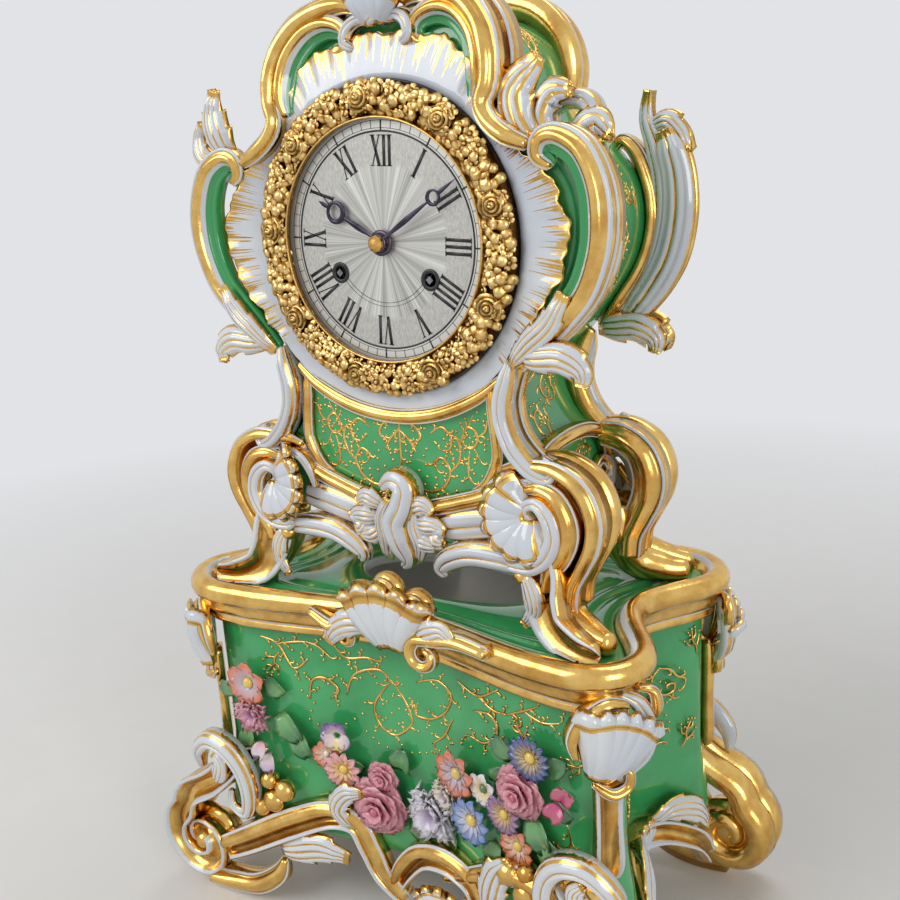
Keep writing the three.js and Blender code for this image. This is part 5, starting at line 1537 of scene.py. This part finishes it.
BLACK_WAX = black_wax()
SLOT_FINISH = {
    "green_glaze": GREEN_GROUND, "white_glaze": WHITE_AND_GOLD, "gilt_glaze": WHITE_AND_GOLD,
    "flower_glaze": FLOWER_ENAMEL,
    "gilt_brass": GILT_DOOR, "silvered_brass": SILVERED, "blued_steel": BLUED, "brass": BRASS,
    "steel": STEEL,
    "bell_metal": BELL_METAL,
}
for part in frame["record"]["subparts"]:
    for material_slot in frame["nodes"][part["node"]].material_slots:
        material_slot.material = SLOT_FINISH[part["material_slot"]]

# %% [markdown]
# The hours are Roman and stand round the dial with their feet to the centre. Each is a few strokes, a
# broad one and a hairline as a pen makes them, closed with serifs. They were engraved and filled with
# black wax, so they lie almost flush.

# %% Strokes of the numerals, in a frame that is turned to the hour
DIAL_TURN = 3.3
DIAL_FACE = -31.4
NUMERAL_FOOT, NUMERAL_TOP = 26.6, 36.9
NUMERALS = ["XII", "I", "II", "III", "IIII", "V", "VI", "VII", "VIII", "IX", "X", "XI"]
WIDTHS = {"I": 2.35, "V": 4.7, "X": 4.7}


def dial_place(degrees, across, out, lift=0.0):
    """A place on the dial: degrees clockwise from XII, then across and out from the centre."""
    a = math.radians(degrees + DIAL_TURN)
    return Vector((
        out * math.sin(a) + across * math.cos(a), DIAL_FACE - lift,
        DIAL_Z + out * math.cos(a) - across * math.sin(a),
    ))


def stroke(bm, degrees, start, end, wide, lift=0.12):
    a, b = Vector(start), Vector(end)
    side = (b - a).normalized()
    side = Vector((-side.y, side.x)) * (wide / 2)
    corners = [a - side, a + side, b + side, b - side]
    rows = [[dial_place(degrees, p.x, p.y, h) for p in corners] for h in (-0.05, lift)]
    rows.insert(0, [sum(rows[0], Vector()) / 4] * 4)
    rows.append([sum(rows[2], Vector()) / 4] * 4)
    skin(bm, rows)


def numeral(bm, degrees, letters):
    wide = sum(WIDTHS[c] for c in letters)
    x = -wide / 2
    foot, top = NUMERAL_FOOT, NUMERAL_TOP
    for c in letters:
        w = WIDTHS[c]
        if c == "I":
            stroke(bm, degrees, (x + w / 2, foot), (x + w / 2, top), 1.15)
            serifs = [(x + w / 2, foot, 1.0), (x + w / 2, top, 1.0)]
        else:
            low = x + w / 2 if c == "V" else x + w - 0.9
            stroke(bm, degrees, (x + 0.9, top), (low, foot), 1.15)
            low = x + w / 2 if c == "V" else x + 0.9
            stroke(bm, degrees, (x + w - 0.9, top), (low, foot), 0.38)
            serifs = [(x + 0.9, top, 1.0), (x + w - 0.9, top, 0.8)]
            if c == "X":
                serifs += [(x + 0.9, foot, 0.8), (x + w - 0.9, foot, 1.0)]
        for centre, height, half in serifs:
            stroke(bm, degrees, (centre - half, height), (centre + half, height), 0.3)
        x += w


def dial_marks():
    bm = new_form()
    for hour, letters in enumerate(NUMERALS):
        numeral(bm, hour * 30, letters)
    finish_piece(bm, "dial_numerals", BLACK_WAX, "clock_case")
    bm = new_form()
    for radius, wide in ((38.3, 0.62), (39.3, 0.18), (41.9, 0.22)):
        inner, outer = radius - wide / 2, radius + wide / 2
        turned_ring(bm, [(inner, -31.3), (inner, -31.5), (outer, -31.5), (outer, -31.3)], 160)
    for minute in range(60):
        if minute % 5:
            stroke(bm, minute * 6, (0, 39.3), (0, 41.8), 0.16)
        else:
            stroke(bm, minute * 6, (0, 38.4), (0, 42.1), 0.55)
    for radius, wide in ((21.6, 0.14), (23.0, 0.1)):
        for k in range(36):
            turns = [math.radians(116 + step * 128 / 36) for step in (k, k + 1)]
            a, b = (Vector((radius * math.sin(t), radius * math.cos(t))) for t in turns)
            stroke(bm, 0, a, b, wide)
    finish_piece(bm, "dial_minute_ring", BLACK_WAX, "clock_case")


dial_marks()


# %% Black rims of the two winding holes
def winding_rims():
    bm = new_form()
    turns = [2 * math.pi * k / 48 for k in range(48)]
    for x in (-20, 20):
        centre = dial_place(0, x, -12)
        rows = []
        for radius, lift in ((2.35, -0.6), (2.35, 0.2), (2.8, 0.45), (3.5, 0.45), (3.9, 0.2), (3.9, -0.1)):
            spokes = [Vector((radius * math.cos(a), -lift, radius * math.sin(a))) for a in turns]
            rows.append([centre + spoke for spoke in spokes])
        skin(bm, rows, loop=True)
    return finish_piece(bm, "winding_hole_rims", BLACK_WAX, "clock_case")


winding_rims()

# %% [markdown]
# The hands are blued steel in the moon pattern: a slim stem, an open ring near the tip and a leaf-shaped
# point. At rest they stand near ten and near two, where the photograph shows them.

# %% Hands
def moon_hand(name, body, length, moon, boss, bore, y, degrees):
    bm = new_form()

    def at(across, out, share):
        p = dial_place(degrees, across, out)
        return (p.x, y + 0.45, p.z, share)

    moon_at = length * 0.72
    stem = [
        at(0, boss * 0.7, 1.0), at(0, boss + 1.2, 0.55), at(0, moon_at * 0.5, 1.05),
        at(0, moon_at * 0.8, 0.6),
        at(0, moon_at - moon * 0.85, 0.3),
    ]
    flat = [(-1, 0.15, 1), (-0.6, 0.7, 1), (0, 1, 1), (0.6, 0.7, 1), (1, 0.15, 1)]
    band(bm, stem, 1.0, 0.42, two_faced(flat), 26)
    tip = [at(0, moon_at + moon * 0.8, 0.45), at(0, moon_at + moon * 1.5, 0.8), at(0, length, 0.08)]
    band(bm, tip, 0.95, 0.42, two_faced(flat), 14)
    for centre, outer, inner, shift in ((moon_at, moon, moon * 0.66, moon * 0.1), (0.0, boss, bore, 0.0)):
        rows = []
        for along, lift in ((0.0, -0.4), (0.0, 0.25), (0.5, 0.42), (1.0, 0.25), (1.0, -0.4), (0.5, -0.42)):
            row = []
            for k in range(48):
                a = 2 * math.pi * k / 48
                radius = inner + (outer - inner) * along
                out = centre + shift * (1 - along) + radius * math.sin(a)
                p = dial_place(degrees, radius * math.cos(a), out)
                row.append(Vector((p.x, y + 0.45 - lift, p.z)))
            rows.append(row)
        skin(bm, rows, loop=True)
    return finish_piece(bm, name + "_blued", BLUED, body, [name])


hour_box, minute_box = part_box("hour_hand"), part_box("minute_hand")
moon_hand("hour_hand", "hour_train", 31, 4.2, 4.6, 2.6, hour_box[0][1] / MM, 296.4)
moon_hand("minute_hand", "minute_train", 40, 2.9, 3.3, 1.2, minute_box[0][1] / MM, 55)

# %% [markdown]
# ## Flowers
#
# The flowers were made petal by petal in the fingers, so every petal here is its own small sheet, bent
# from a grid. A rose is four rings of cupped petals, a daisy is one ring of flat ones, and a carnation
# is three rings with frayed edges. The enamel colour goes from the heart to the tip in the paint
# attribute.

# %% One petal
def shade(a, b, t):
    t = max(0.0, min(1.0, t))
    return tuple(p + (q - p) * t for p, q in zip(a, b))


def petal(bm, centre, out, turn, reach, wide, rise, heart, tip, cup=0.25, frill=0.0, start=0.15):
    """rise holds three heights along the petal, from the heart to the tip, as parts of the reach."""
    across = Vector((0, 0, 1)).cross(out).normalized()
    up = out.cross(across).normalized()
    along = across * math.cos(turn) + up * math.sin(turn)
    side = up * math.cos(turn) - across * math.sin(turn)

    def place(u, v):
        a = 2 * u - 1
        spread = math.sin(math.pi * min(1.0, 0.14 + 0.8 * v)) ** 0.6
        low, middle, high = rise
        height = (low + (middle - low) * v * 2) if v < 0.5 else (middle + (high - middle) * (v * 2 - 1))
        height += cup * (a * a) * 0.5 - frill * 0.12 * math.cos(a * 9 + turn * 3) * v
        far = start + (1 - start) * v + frill * 0.1 * math.cos(a * 14) * v
        return centre + along * (reach * far) + side * (wide * spread * a) + out * (height * reach)

    def colour(u, v):
        return shade(heart, tip, v * 1.2 + 0.15 * abs(2 * u - 1))

    sheet(bm, 6, 6, place, 0.35, None, colour)


# %% Flowers of each kind
def daisy(bm, centre, out, size, petals, heart, tip, eye, turn):
    for k in range(petals):
        a = turn + 2 * math.pi * k / petals
        wide = size * math.sin(math.pi / petals) * 0.92
        petal(bm, centre, out, a, size, wide, (0.12, 0.34, 0.3), heart, tip)
    p = centre + out * size * 0.22
    knob(bm, p.x, p.y, p.z, size * 0.26, size * 0.2, size * 0.26, 0, eye, 10)


def rose(bm, centre, out, size, deep, pale, dice):
    rings = (
        (6, 1.0, 0.62, (0.05, 0.3, 0.26), 0.2),
        (6, 0.78, 0.5, (0.1, 0.62, 0.6), 0.3),
        (5, 0.56, 0.4, (0.3, 1.1, 1.15), 0.45),
        (4, 0.34, 0.26, (0.6, 2.1, 2.2), 0.6),
    )
    for ring, (count, reach, wide, rise, cup) in enumerate(rings):
        for k in range(count):
            a = 2 * math.pi * (k + 0.5 * ring) / count + dice.uniform(-0.15, 0.15)
            tone = shade(pale, deep, dice.uniform(0, 0.5))
            petal(bm, centre, out, a, size * reach, size * wide, rise, deep, tone, cup * 0.8, 0.25, 0.1)
    p = centre + out * size * 0.6
    knob(bm, p.x, p.y, p.z, size * 0.16, size * 0.2, size * 0.16, 0, deep, 8)


def carnation(bm, centre, out, size, heart, tip, dice):
    rings = ((9, 1.0, (0.0, 0.2, 0.28)), (8, 0.8, (0.05, 0.45, 0.62)), (6, 0.55, (0.1, 0.9, 1.1)))
    for ring, (count, reach, rise) in enumerate(rings):
        for k in range(count):
            a = 2 * math.pi * (k + 0.5 * ring) / count + dice.uniform(-0.2, 0.2)
            petal(
                bm, centre, out, a, size * reach * dice.uniform(0.85, 1.1), size * 0.34, rise, heart, tip,
                0.3, 1.4, 0.1,
            )


def green_leaf(bm, centre, out, turn, reach, wide):
    light, dark = linear(120, 188, 104), linear(38, 122, 60)
    petal(bm, centre, out, turn, reach, wide, (0.02, 0.2, 0.12), light, dark, 0.3, 0.3, 0.0)


# %% Colours of the enamels
PINK, DEEP_PINK = linear(232, 160, 172), linear(190, 78, 104)
LILAC, DEEP_LILAC = linear(208, 184, 214), linear(140, 92, 158)
ORANGE, CREAM, YELLOW = linear(222, 112, 56), linear(240, 226, 206), linear(236, 200, 70)
BLUE, DEEP_BLUE, SKY = linear(96, 132, 196), linear(44, 72, 150), linear(176, 200, 228)
VIOLET, MAGENTA, SOFT_WHITE = linear(112, 48, 150), linear(196, 32, 120), linear(232, 228, 236)
OCHRE, LEAF_GREEN = linear(224, 190, 90), linear(60, 110, 60)


def on_wall(x, z, proud):
    """A place on the front wall of the stand, and the way that the wall faces there."""
    slope = front_edge(abs(x) + 0.5) - front_edge(abs(x) - 0.5)
    out = Vector((math.copysign(slope, x) * -1, -1, 0)).normalized()
    return Vector((x, -(front_edge(x) - WALL_INSET), z)) + out * proud, out


def flower(bm, x, z, proud, build, *form):
    """Sets one flower, petal or leaf on the wall. form is what its own function takes after the place."""
    centre, out = on_wall(x, z, proud)
    build(bm, centre, out, *form)


# %% The rose spray and the left spray
RIGHT_LEAVES = [
    (-4, 78, 1.3, 12, 5), (4, 60, 5.0, 12, 5), (26, 78, 1.2, 11, 5), (22, 60, 4.6, 11, 4.5),
    (47, 92, 1.0, 12, 5), (64, 86, 5.2, 14, 6), (70, 108, 0.6, 11, 4.5), (56, 107, 2.4, 11, 4.5),
    (46, 66, 4.4, 10, 4.5), (72, 96, -0.4, 10, 4), (-22, 74, 2.6, 10, 4), (66, 78, -0.3, 14, 6),
]
LEFT_LEAVES = [
    (-58, 96, 5.4, 15, 5.5), (-56, 104, 2.2, 11, 4.5), (-76, 84, 4.6, 11, 4.5), (-52, 88, 5.2, 13, 5),
    (-80, 102, 3.0, 10, 4),
]


def rose_spray(dice):
    bm = new_form()
    for x, z, *form in RIGHT_LEAVES:
        flower(bm, x, z, 0.8, green_leaf, *form)
    flower(bm, -13, 62, 2, rose, 13.5, DEEP_PINK, PINK, dice)
    flower(bm, -11, 75, 2.5, rose, 7.5, DEEP_PINK, PINK, dice)
    flower(bm, 61, 97, 2, rose, 11, DEEP_PINK, PINK, dice)
    flower(bm, 15, 67, 2, carnation, 13, DEEP_LILAC, SOFT_WHITE, dice)
    flower(bm, 23, 78, 2.5, carnation, 8, LILAC, CREAM, dice)
    flower(bm, 29.5, 91, 3, daisy, 10, 8, SKY, ORANGE, OCHRE, 0.2)
    flower(bm, 43, 90, 3, daisy, 7, 7, YELLOW, SOFT_WHITE, LEAF_GREEN, 0.5)
    flower(bm, 37, 74, 3.5, daisy, 10, 10, SOFT_WHITE, BLUE, YELLOW, 0.1)
    flower(bm, 53, 84, 3, daisy, 8, 14, YELLOW, DEEP_LILAC, YELLOW, 0.3)
    flower(bm, 66, 113, 3, daisy, 9, 16, YELLOW, DEEP_BLUE, YELLOW, 0.0)
    flower(bm, 58, 72, 2, daisy, 8, 9, CREAM, ORANGE, YELLOW, 0.4)
    for x, z, turn in ((76, 102, 0.2), (80, 99, 2.0), (77, 98, 4.2)):
        flower(bm, x, z, 2, petal, turn, 7.5, 4.0, (0.2, 0.5, 0.5), MAGENTA, DEEP_PINK, 0.4)
    flower(bm, -30, 75, 2.5, daisy, 8.5, 11, YELLOW, PINK, YELLOW, 0.2)
    flower(bm, -38, 80, 1.5, daisy, 6.5, 8, CREAM, ORANGE, CREAM, 0.3)
    for turn, tone in ((1.2, VIOLET), (2.3, VIOLET), (3.6, LILAC), (5.8, LILAC), (4.7, YELLOW)):
        flower(bm, -32, 90, 2.5, petal, turn, 7.0, 4.2, (0.1, 0.3, 0.3), CREAM, tone, 0.3)
    finish_piece(bm, "rose_spray_petals", FLOWER_ENAMEL, "stand", ["stand_rose_spray"])


def left_spray(dice):
    bm = new_form()
    for x, z, *form in LEFT_LEAVES:
        flower(bm, x, z, 0.8, green_leaf, *form)
    flower(bm, -71, 109, 2.5, daisy, 10, 6, SKY, ORANGE, YELLOW, 0.4)
    flower(bm, -71, 94, 2, carnation, 9, DEEP_LILAC, PINK, dice)
    flower(bm, -64, 79, 2.5, petal, 4.9, 10, 4.0, (0.2, 0.4, 0.4), CREAM, LILAC, 0.5)
    flower(bm, -66, 83, 2.5, petal, 4.4, 9, 3.4, (0.2, 0.4, 0.4), PINK, SOFT_WHITE, 0.5)
    finish_piece(bm, "left_spray_petals", FLOWER_ENAMEL, "stand", ["stand_left_flowers"])


flower_dice = random.Random(3)
rose_spray(flower_dice)
left_spray(flower_dice)

# %% [markdown]
# ## Gold lace on the green
#
# The gilder drew scrolls, sprigs and dots on the green ground. The lines were laid on thickly, so here
# each is a thin low band that follows its wall, and each dot a small flat knob. A wall is a function: it
# takes two measures on the wall and gives the place there and the way the wall faces.

# %% Lines and dots on a wall
def lace(bm, wall, strokes, dots, wide):
    for line in strokes:
        places = [wall(a, b) for a, b in line]
        shares = [0.5] + [1.0] * (len(line) - 2) + [0.5]
        points = [(*place, share) for (place, _), share in zip(places, shares)]

        def facing(centre, near=places):
            return min(near, key=lambda pair: (pair[0] - centre).length)[1]

        band(bm, points, wide, 0.42, LINE, 4 * len(line), facing)
    for a, b in dots:
        place, _ = wall(a, b)
        knob(bm, *place, 0.6, 0.5, 0.6, rounds=6)


def tendrils(strokes, every, reach):
    """Short hooks that grow from the lines, to one side and then the other, each with a dot beyond it."""
    hooks, dots = [], []
    way = 1
    for line in strokes:
        fine = [p for p, _ in smooth_line([(a, b, 0, 1) for a, b in line], 10 * len(line))]
        walked = every * 0.5
        for p, q in zip(fine, fine[1:]):
            walked += (q - p).length
            if walked < every:
                continue
            walked = 0.0
            way = -way
            along = (q - p).normalized()
            side = Vector((-along.y, along.x, 0)) * way
            bend = [
                q,
                q + along * reach * 0.7 + side * reach * 0.35,
                q + along * reach + side * reach * 0.95,
                q + along * reach * 0.55 + side * reach * 1.15,
            ]
            hooks.append([(p.x, p.y) for p in bend])
            dots.append(tuple((q + along * reach * 1.5 + side * reach * 1.5)[:2]))
    return hooks, dots


C_SCROLL = (
    [
        [
            (-1.0, -0.1), (-0.75, 0.45), (-0.15, 0.7), (0.45, 0.5), (0.6, 0.05), (0.3, -0.2), (0.1, 0.05),
            (0.28, 0.2),
        ],
        [(-1.0, -0.1), (-0.55, -0.45), (0.0, -0.5), (0.5, -0.75), (0.85, -0.5)],
        [(0.6, 0.05), (0.95, 0.25), (1.15, 0.0)],
        [(-0.15, 0.7), (0.0, 1.0), (0.3, 1.1)],
    ],
    [(-0.35, 0.25), (-0.1, 0.1), (0.9, 0.6), (-0.95, 0.4), (-0.3, -0.8), (0.1, -0.9), (0.6, 0.95)],
)
SPRIG = (
    [
        [(0.0, -1.0), (0.12, -0.4), (-0.05, 0.2), (0.1, 0.9)],
        [(0.1, -0.4), (0.5, -0.2), (0.75, 0.15)],
        [(0.0, -0.1), (-0.4, 0.05), (-0.6, 0.45)],
        [(-0.02, 0.3), (0.35, 0.5), (0.4, 0.85)],
    ],
    [(0.1, 1.1), (0.85, 0.35), (-0.7, 0.65), (0.45, 1.05), (-0.2, 0.8), (-0.25, 1.05)],
)


def lay(bm, wall, a, b, size, turn, way, motif):
    """Draws one motif with its hooks round (a, b) on a wall. A way of -1 mirrors it."""
    strokes, dots = motif
    c, s = math.cos(math.radians(turn)), math.sin(math.radians(turn))

    def move(point):
        x, y = point[0] * way * size, point[1] * size
        return (a + x * c - y * s, b + x * s + y * c)

    lines = [[move(p) for p in line] for line in strokes]
    hooks, _ = tendrils(lines[:2], size * 0.8, size * 0.28)
    lace(bm, wall, lines, [move(p) for p in dots], 0.6)
    lace(bm, wall, hooks, [], 0.4)


def turned(wall, x=1, y=1):
    """The same wall on the other side of the object."""
    def other(a, b):
        place, out = wall(a, b)
        return Vector((place.x * x, place.y * y, place.z)), Vector((out.x * x, out.y * y, out.z))

    return other


# %% Lace on the stand
def stand_inset(z):
    return WALL_INSET - 2.4 * max(0.0, min(1.0, (78 - z) / 20))


def stand_front(x, z):
    place, out = on_wall(x, z, 0.0)
    return place - Vector((0, WALL_INSET - stand_inset(z), 0)), out


def stand_side(y, z):
    slope = side_edge(abs(y) + 0.5) - side_edge(abs(y) - 0.5)
    out = Vector((1, math.copysign(slope, y) * -1, 0)).normalized()
    return Vector((side_edge(y) - stand_inset(z), y, z)), out


STAND_STROKES = [
    [(-6, 118), (-14.8, 106.2), (-13.6, 97), (-6.2, 93.1), (2.5, 101), (0.1, 109.6), (-6, 118)],
    [(6.1, 120.2), (16.7, 124.2), (23.8, 120.5), (21.1, 112.5), (13.2, 106.2), (4.8, 105.4), (6.3, 111.3)],
    [(24.1, 110), (19.1, 101), (12.3, 94.9)],
    [(35.2, 117.8), (43.6, 119.3), (47.3, 114), (40.7, 106.2), (32.3, 106.2)],
    [(40.7, 106.2), (46.9, 107.9), (54.9, 110.3)],
    [(-27.7, 107.7), (-23.1, 117.8), (-11.5, 121.6), (-6.1, 117.2)],
    [(-44.7, 103.4), (-42.8, 112.2), (-36.2, 114), (-31.2, 109.1), (-35.3, 104.7)],
    [(-66, 129.7), (-57.3, 127.3), (-50.8, 116.9), (-43.8, 122)],
    [(-57.3, 127.3), (-50, 129), (-43.8, 129.9)], [(-43.8, 129.9), (-38, 128), (-33.5, 123.7)],
    [(27.5, 127.8), (38, 125), (48.4, 131.5)], [(38, 125), (45, 122), (51.7, 122.5)],
    [(51.7, 122.5), (60, 127), (66.7, 131)], [(60, 127), (68, 125), (75.2, 127)],
    [(77, 86.9), (78.4, 78.9), (72, 74)], [(-75.5, 83.9), (-76, 77), (-73, 71.9)],
    [(-31.1, 129.5), (-26.1, 124.7), (-16.8, 126.1), (-11.2, 125.2)],
]
STAND_DOTS = [
    (-9, 108), (-7, 103), (-4, 99), (-10, 100), (-3.4, 106), (-6, 111), (-19.8, 92), (-17, 89.5),
    (-14.5, 87.4), (-10.5, 86.4), (-6.5, 86), (-2.8, 86.5), (1.5, 87.2), (5.5, 88.4), (9, 89.6), (12, 91.1),
    (16, 93), (20, 96), (23.2, 99), (-48.1, 106.8), (-45.5, 104.5), (-43, 101.7), (-44.6, 97.6),
    (-45.6, 93.6), (-42, 91.6), (-38.5, 90.8), (-33.5, 91.5), (-29, 93.8), (-24.9, 96.8), (-21, 100),
    (28, 101), (33, 101.5),
]


def lace_piece(name, body, wall, scrolls, sprigs=(), strokes=(), dots=(), reach=2.4, wide=0.62):
    """One wall's lace is one piece."""
    bm = new_form()
    if strokes:
        hooks, more = tendrils(strokes, reach * 1.8, reach)
        lace(bm, wall, strokes, list(dots) + more, wide)
        lace(bm, wall, hooks, [], wide * 0.66)
    for a, b, size, turn, way in scrolls:
        lay(bm, wall, a, b, size, turn, way, C_SCROLL)
    for a, b, size, turn in sprigs:
        lay(bm, wall, a, b, size, turn, 1, SPRIG)
    return finish_piece(bm, name, WHITE_AND_GOLD, body)


SIDE_SCROLLS = [
    (0, 118, 9, 0, 1), (-22, 110, 8, 60, 1), (22, 110, 8, 120, -1), (-10, 92, 8, 200, 1),
    (14, 90, 8, -20, 1), (0, 74, 8, 10, -1),
]
SIDE_SPRIGS = [(-34, 124, 6, -20), (34, 124, 6, 20), (0, 102, 5, 0), (-30, 84, 6, 20), (30, 84, 6, -20)]
print("front and side wall at mid height:", stand_front(0, 90)[0], stand_side(0, 90)[0])
lace_piece(
    "stand_front_lace", "stand", stand_front, [], [(-60, 118, 6, 150), (58, 118, 5, 20), (82, 112, 6, 100)],
    STAND_STROKES, STAND_DOTS,
)
rear_scrolls = [
    (-60, 84, 9, 20, 1), (60, 84, 9, -20, -1), (-34, 76, 8, 160, 1), (34, 76, 8, 20, 1), (0, 74, 9, 0, 1),
]
lace_piece(
    "stand_rear_lace", "stand", turned(stand_front, y=-1), rear_scrolls, [], STAND_STROKES, STAND_DOTS,
)
lace_piece("stand_right_lace", "stand", stand_side, SIDE_SCROLLS, SIDE_SPRIGS)
lace_piece("stand_left_lace", "stand", turned(stand_side, x=-1), SIDE_SCROLLS, SIDE_SPRIGS)


# %% Lace on the case
def case_front(x, z):
    return Vector((x, CASE_FRONT, DIAL_Z + z)), Vector((0, -1, 0))


def case_back(x, z):
    return Vector((x, CASE_BACK, DIAL_Z + z)), Vector((0, 1, 0))


def case_flank(y, z):
    """The wall at a height, from the dome down to the foot."""
    for (ax, az), (bx, bz) in zip(CASE_LINE, CASE_LINE[1:]):
        if bz <= z <= az:
            t = (az - z) / (az - bz)
            return Vector((ax + (bx - ax) * t, y, DIAL_Z + z)), Vector((az - bz, 0, bx - ax)).normalized()
    return Vector((FOOT_X, y, DIAL_Z + z)), Vector((1, 0, 0))


WAIST_STROKES = [
    [(0, -66.5), (0, -78), (0, -91)],
    [(0, -67), (4, -66), (8, -68.5), (9.5, -72), (7, -73.5)],
    [(0, -70), (4, -73), (7, -78)],
    [(0, -84), (5, -90), (12, -93), (19, -90), (22, -84), (19, -79), (15, -81), (16.5, -84)],
    [(3, -92), (8, -96), (14, -96.5), (19, -94)],
    [(14, -70), (19, -67), (23, -70), (22.5, -75), (19, -76)],
    [(22, -84), (26, -80), (27, -74), (25, -70)],
    [(31, -66), (33, -61.5)], [(28, -72), (25, -70)], [(33, -74), (36, -79)],
    [(31, -75), (30, -84), (33, -88)], [(34, -70), (38, -67), (39, -63)],
    [(29, -68), (31, -66), (34, -67.5), (34.5, -71), (32, -74), (29, -73), (28, -70.5), (29, -68)],
]
WAIST_DOTS = [
    (2.5, -78), (4, -82), (8, -85), (11.5, -87), (15.5, -87), (12, -76), (16, -73), (31.5, -70),
    (30.3, -69), (32.6, -71.4), (37.5, -74), (36, -84), (27, -87), (24.5, -91), (10.5, -79), (20, -71.5),
    (38.5, -60.5), (35, -60), (5.5, -99),
]


FLANK_SCROLLS = [
    (4, 66, 5, 80, 1), (-4, 54, 5, 100, -1), (6, 21, 7, 90, 1), (-4, 8, 7, 80, -1), (6, -6, 7, 100, 1),
    (-6, -20, 7, 60, 1), (4, -34, 6, 120, -1), (-8, -47, 6, 80, 1), (6, -57, 7, 90, -1),
    (-6, -68, 6, 60, 1), (-8, -84, 6, 20, 1), (12, -85, 6, -20, -1),
]
FLANK_SPRIGS = [(14, 10, 5, 40), (-12, -6, 5, -30), (12, -22, 5, 20), (-14, -58, 4, 0)]
waist = WAIST_STROKES + [[(-x, z) for x, z in line] for line in WAIST_STROKES[1:]]
waist_dots = WAIST_DOTS + [(-x, z) for x, z in WAIST_DOTS]
lace_piece("case_front_lace", "clock_case", case_front, [], [], waist, waist_dots, 1.8)
lace_piece("case_rear_lace", "clock_case", case_back, [], [], waist, waist_dots, 1.8)
lace_piece("case_right_lace", "clock_case", case_flank, FLANK_SCROLLS, FLANK_SPRIGS)
lace_piece("case_left_lace", "clock_case", turned(case_flank, x=-1), FLANK_SCROLLS, FLANK_SPRIGS)

# %% [markdown]
# ## Camera, floor and light
#
# The camera stands where the photograph's did, which was worked out from the round dial and the hour
# marks on it. A plain floor carries the clock, and three soft lamps light it.

# %% Camera
CAMERA_TURNS = (33.5, 15.7, -3.33)
CAMERA_PLACE = (0.221, -0.330, 0.316)
FOCAL_PIXELS, PHOTO_PIXELS, SENSOR = 1015, 900, 36


def photo_camera():
    yaw, pitch, roll = (math.radians(a) for a in CAMERA_TURNS)
    ahead = Vector((-math.sin(yaw) * math.cos(pitch), math.cos(yaw) * math.cos(pitch), -math.sin(pitch)))
    level = Vector((math.cos(yaw), math.sin(yaw), 0))
    over = level.cross(ahead)
    right = level * math.cos(roll) + over * math.sin(roll)
    up = over * math.cos(roll) - level * math.sin(roll)
    data = bpy.data.cameras.new("photo_camera")
    data.lens = SENSOR * FOCAL_PIXELS / PHOTO_PIXELS
    data.sensor_width = SENSOR
    camera = bpy.data.objects.new("photo_camera", data)
    facing = Matrix((right, up, -ahead)).transposed().to_4x4()
    camera.matrix_world = Matrix.Translation(CAMERA_PLACE) @ facing
    bpy.context.scene.collection.objects.link(camera)
    bpy.context.scene.camera = camera
    return camera


photo_camera()


# %% Floor, lamps and world
FLOOR_REACH = 0.3


def plain_floor():
    bm = bmesh.new()
    bmesh.ops.create_grid(bm, x_segments=1, y_segments=1, size=4.0)
    mesh = bpy.data.meshes.new("floor")
    bm.to_mesh(mesh)
    bm.free()
    floor = bpy.data.objects.new("floor", mesh)
    bpy.context.scene.collection.objects.link(floor)
    material, tree, output = new_finish("floor_paper")
    grain = noise(tree, 40.0)
    colour = ramp(tree, grain, [(0.0, linear(226, 224, 220)), (1.0, linear(231, 229, 226))])
    paper = add(tree, "ShaderNodeBsdfPrincipled", {"Base Color": colour, "Roughness": 0.75})
    place = add(tree, "ShaderNodeTexCoord").outputs["Object"]
    far = add(tree, "ShaderNodeVectorMath", {0: place}, operation="LENGTH").outputs["Value"]
    fade = steeper(tree, far, FLOOR_REACH, 1.7, clamp=True)
    clear = add(tree, "ShaderNodeBsdfTransparent")
    mixed = add(tree, "ShaderNodeMixShader", {"Fac": fade, 1: paper.outputs["BSDF"], 2: clear.outputs[0]})
    tree.links.new(mixed.outputs[0], output.inputs["Surface"])
    mesh.materials.append(material)
    return floor


def lamp(name, place, aim, size, power):
    data = bpy.data.lights.new(name, "AREA")
    data.shape = "RECTANGLE"
    data.size, data.size_y = size
    data.energy = power
    made = bpy.data.objects.new(name, data)
    made.location = place
    made.rotation_euler = (Vector(aim) - Vector(place)).to_track_quat("-Z", "Y").to_euler()
    bpy.context.scene.collection.objects.link(made)


def studio():
    plain_floor()
    aim = (0, 0, 0.2)
    lamp("key", (-0.7, -1.1, 1.1), aim, (1.2, 0.9), 12.5)
    lamp("fill", (1.3, -0.7, 0.6), aim, (0.5, 0.7), 5.5)
    lamp("top", (0.2, 0.5, 1.5), aim, (0.9, 0.5), 4.5)
    world = bpy.data.worlds.new("soft_room")
    world.use_nodes = True
    tree = world.node_tree
    room = tree.nodes["Background"]
    room.inputs["Color"].default_value = (0.92, 0.94, 0.97, 1.0)
    room.inputs["Strength"].default_value = 0.4
    pale = add(tree, "ShaderNodeBackground", {"Color": linear(226, 227, 230), "Strength": 1.0})
    path = add(tree, "ShaderNodeLightPath").outputs
    bounced = math_node(tree, "MAXIMUM", path["Is Glossy Ray"], path["Is Transmission Ray"])
    seen = math_node(tree, "MAXIMUM", path["Is Camera Ray"], bounced)
    mixed = add(tree, "ShaderNodeMixShader", {"Fac": seen, 1: room.outputs[0], 2: pale.outputs[0]})
    tree.links.new(mixed.outputs[0], tree.nodes["World Output"].inputs["Surface"])
    bpy.context.scene.world = world


studio()
bpy.context.scene.view_settings.view_transform = "Standard"
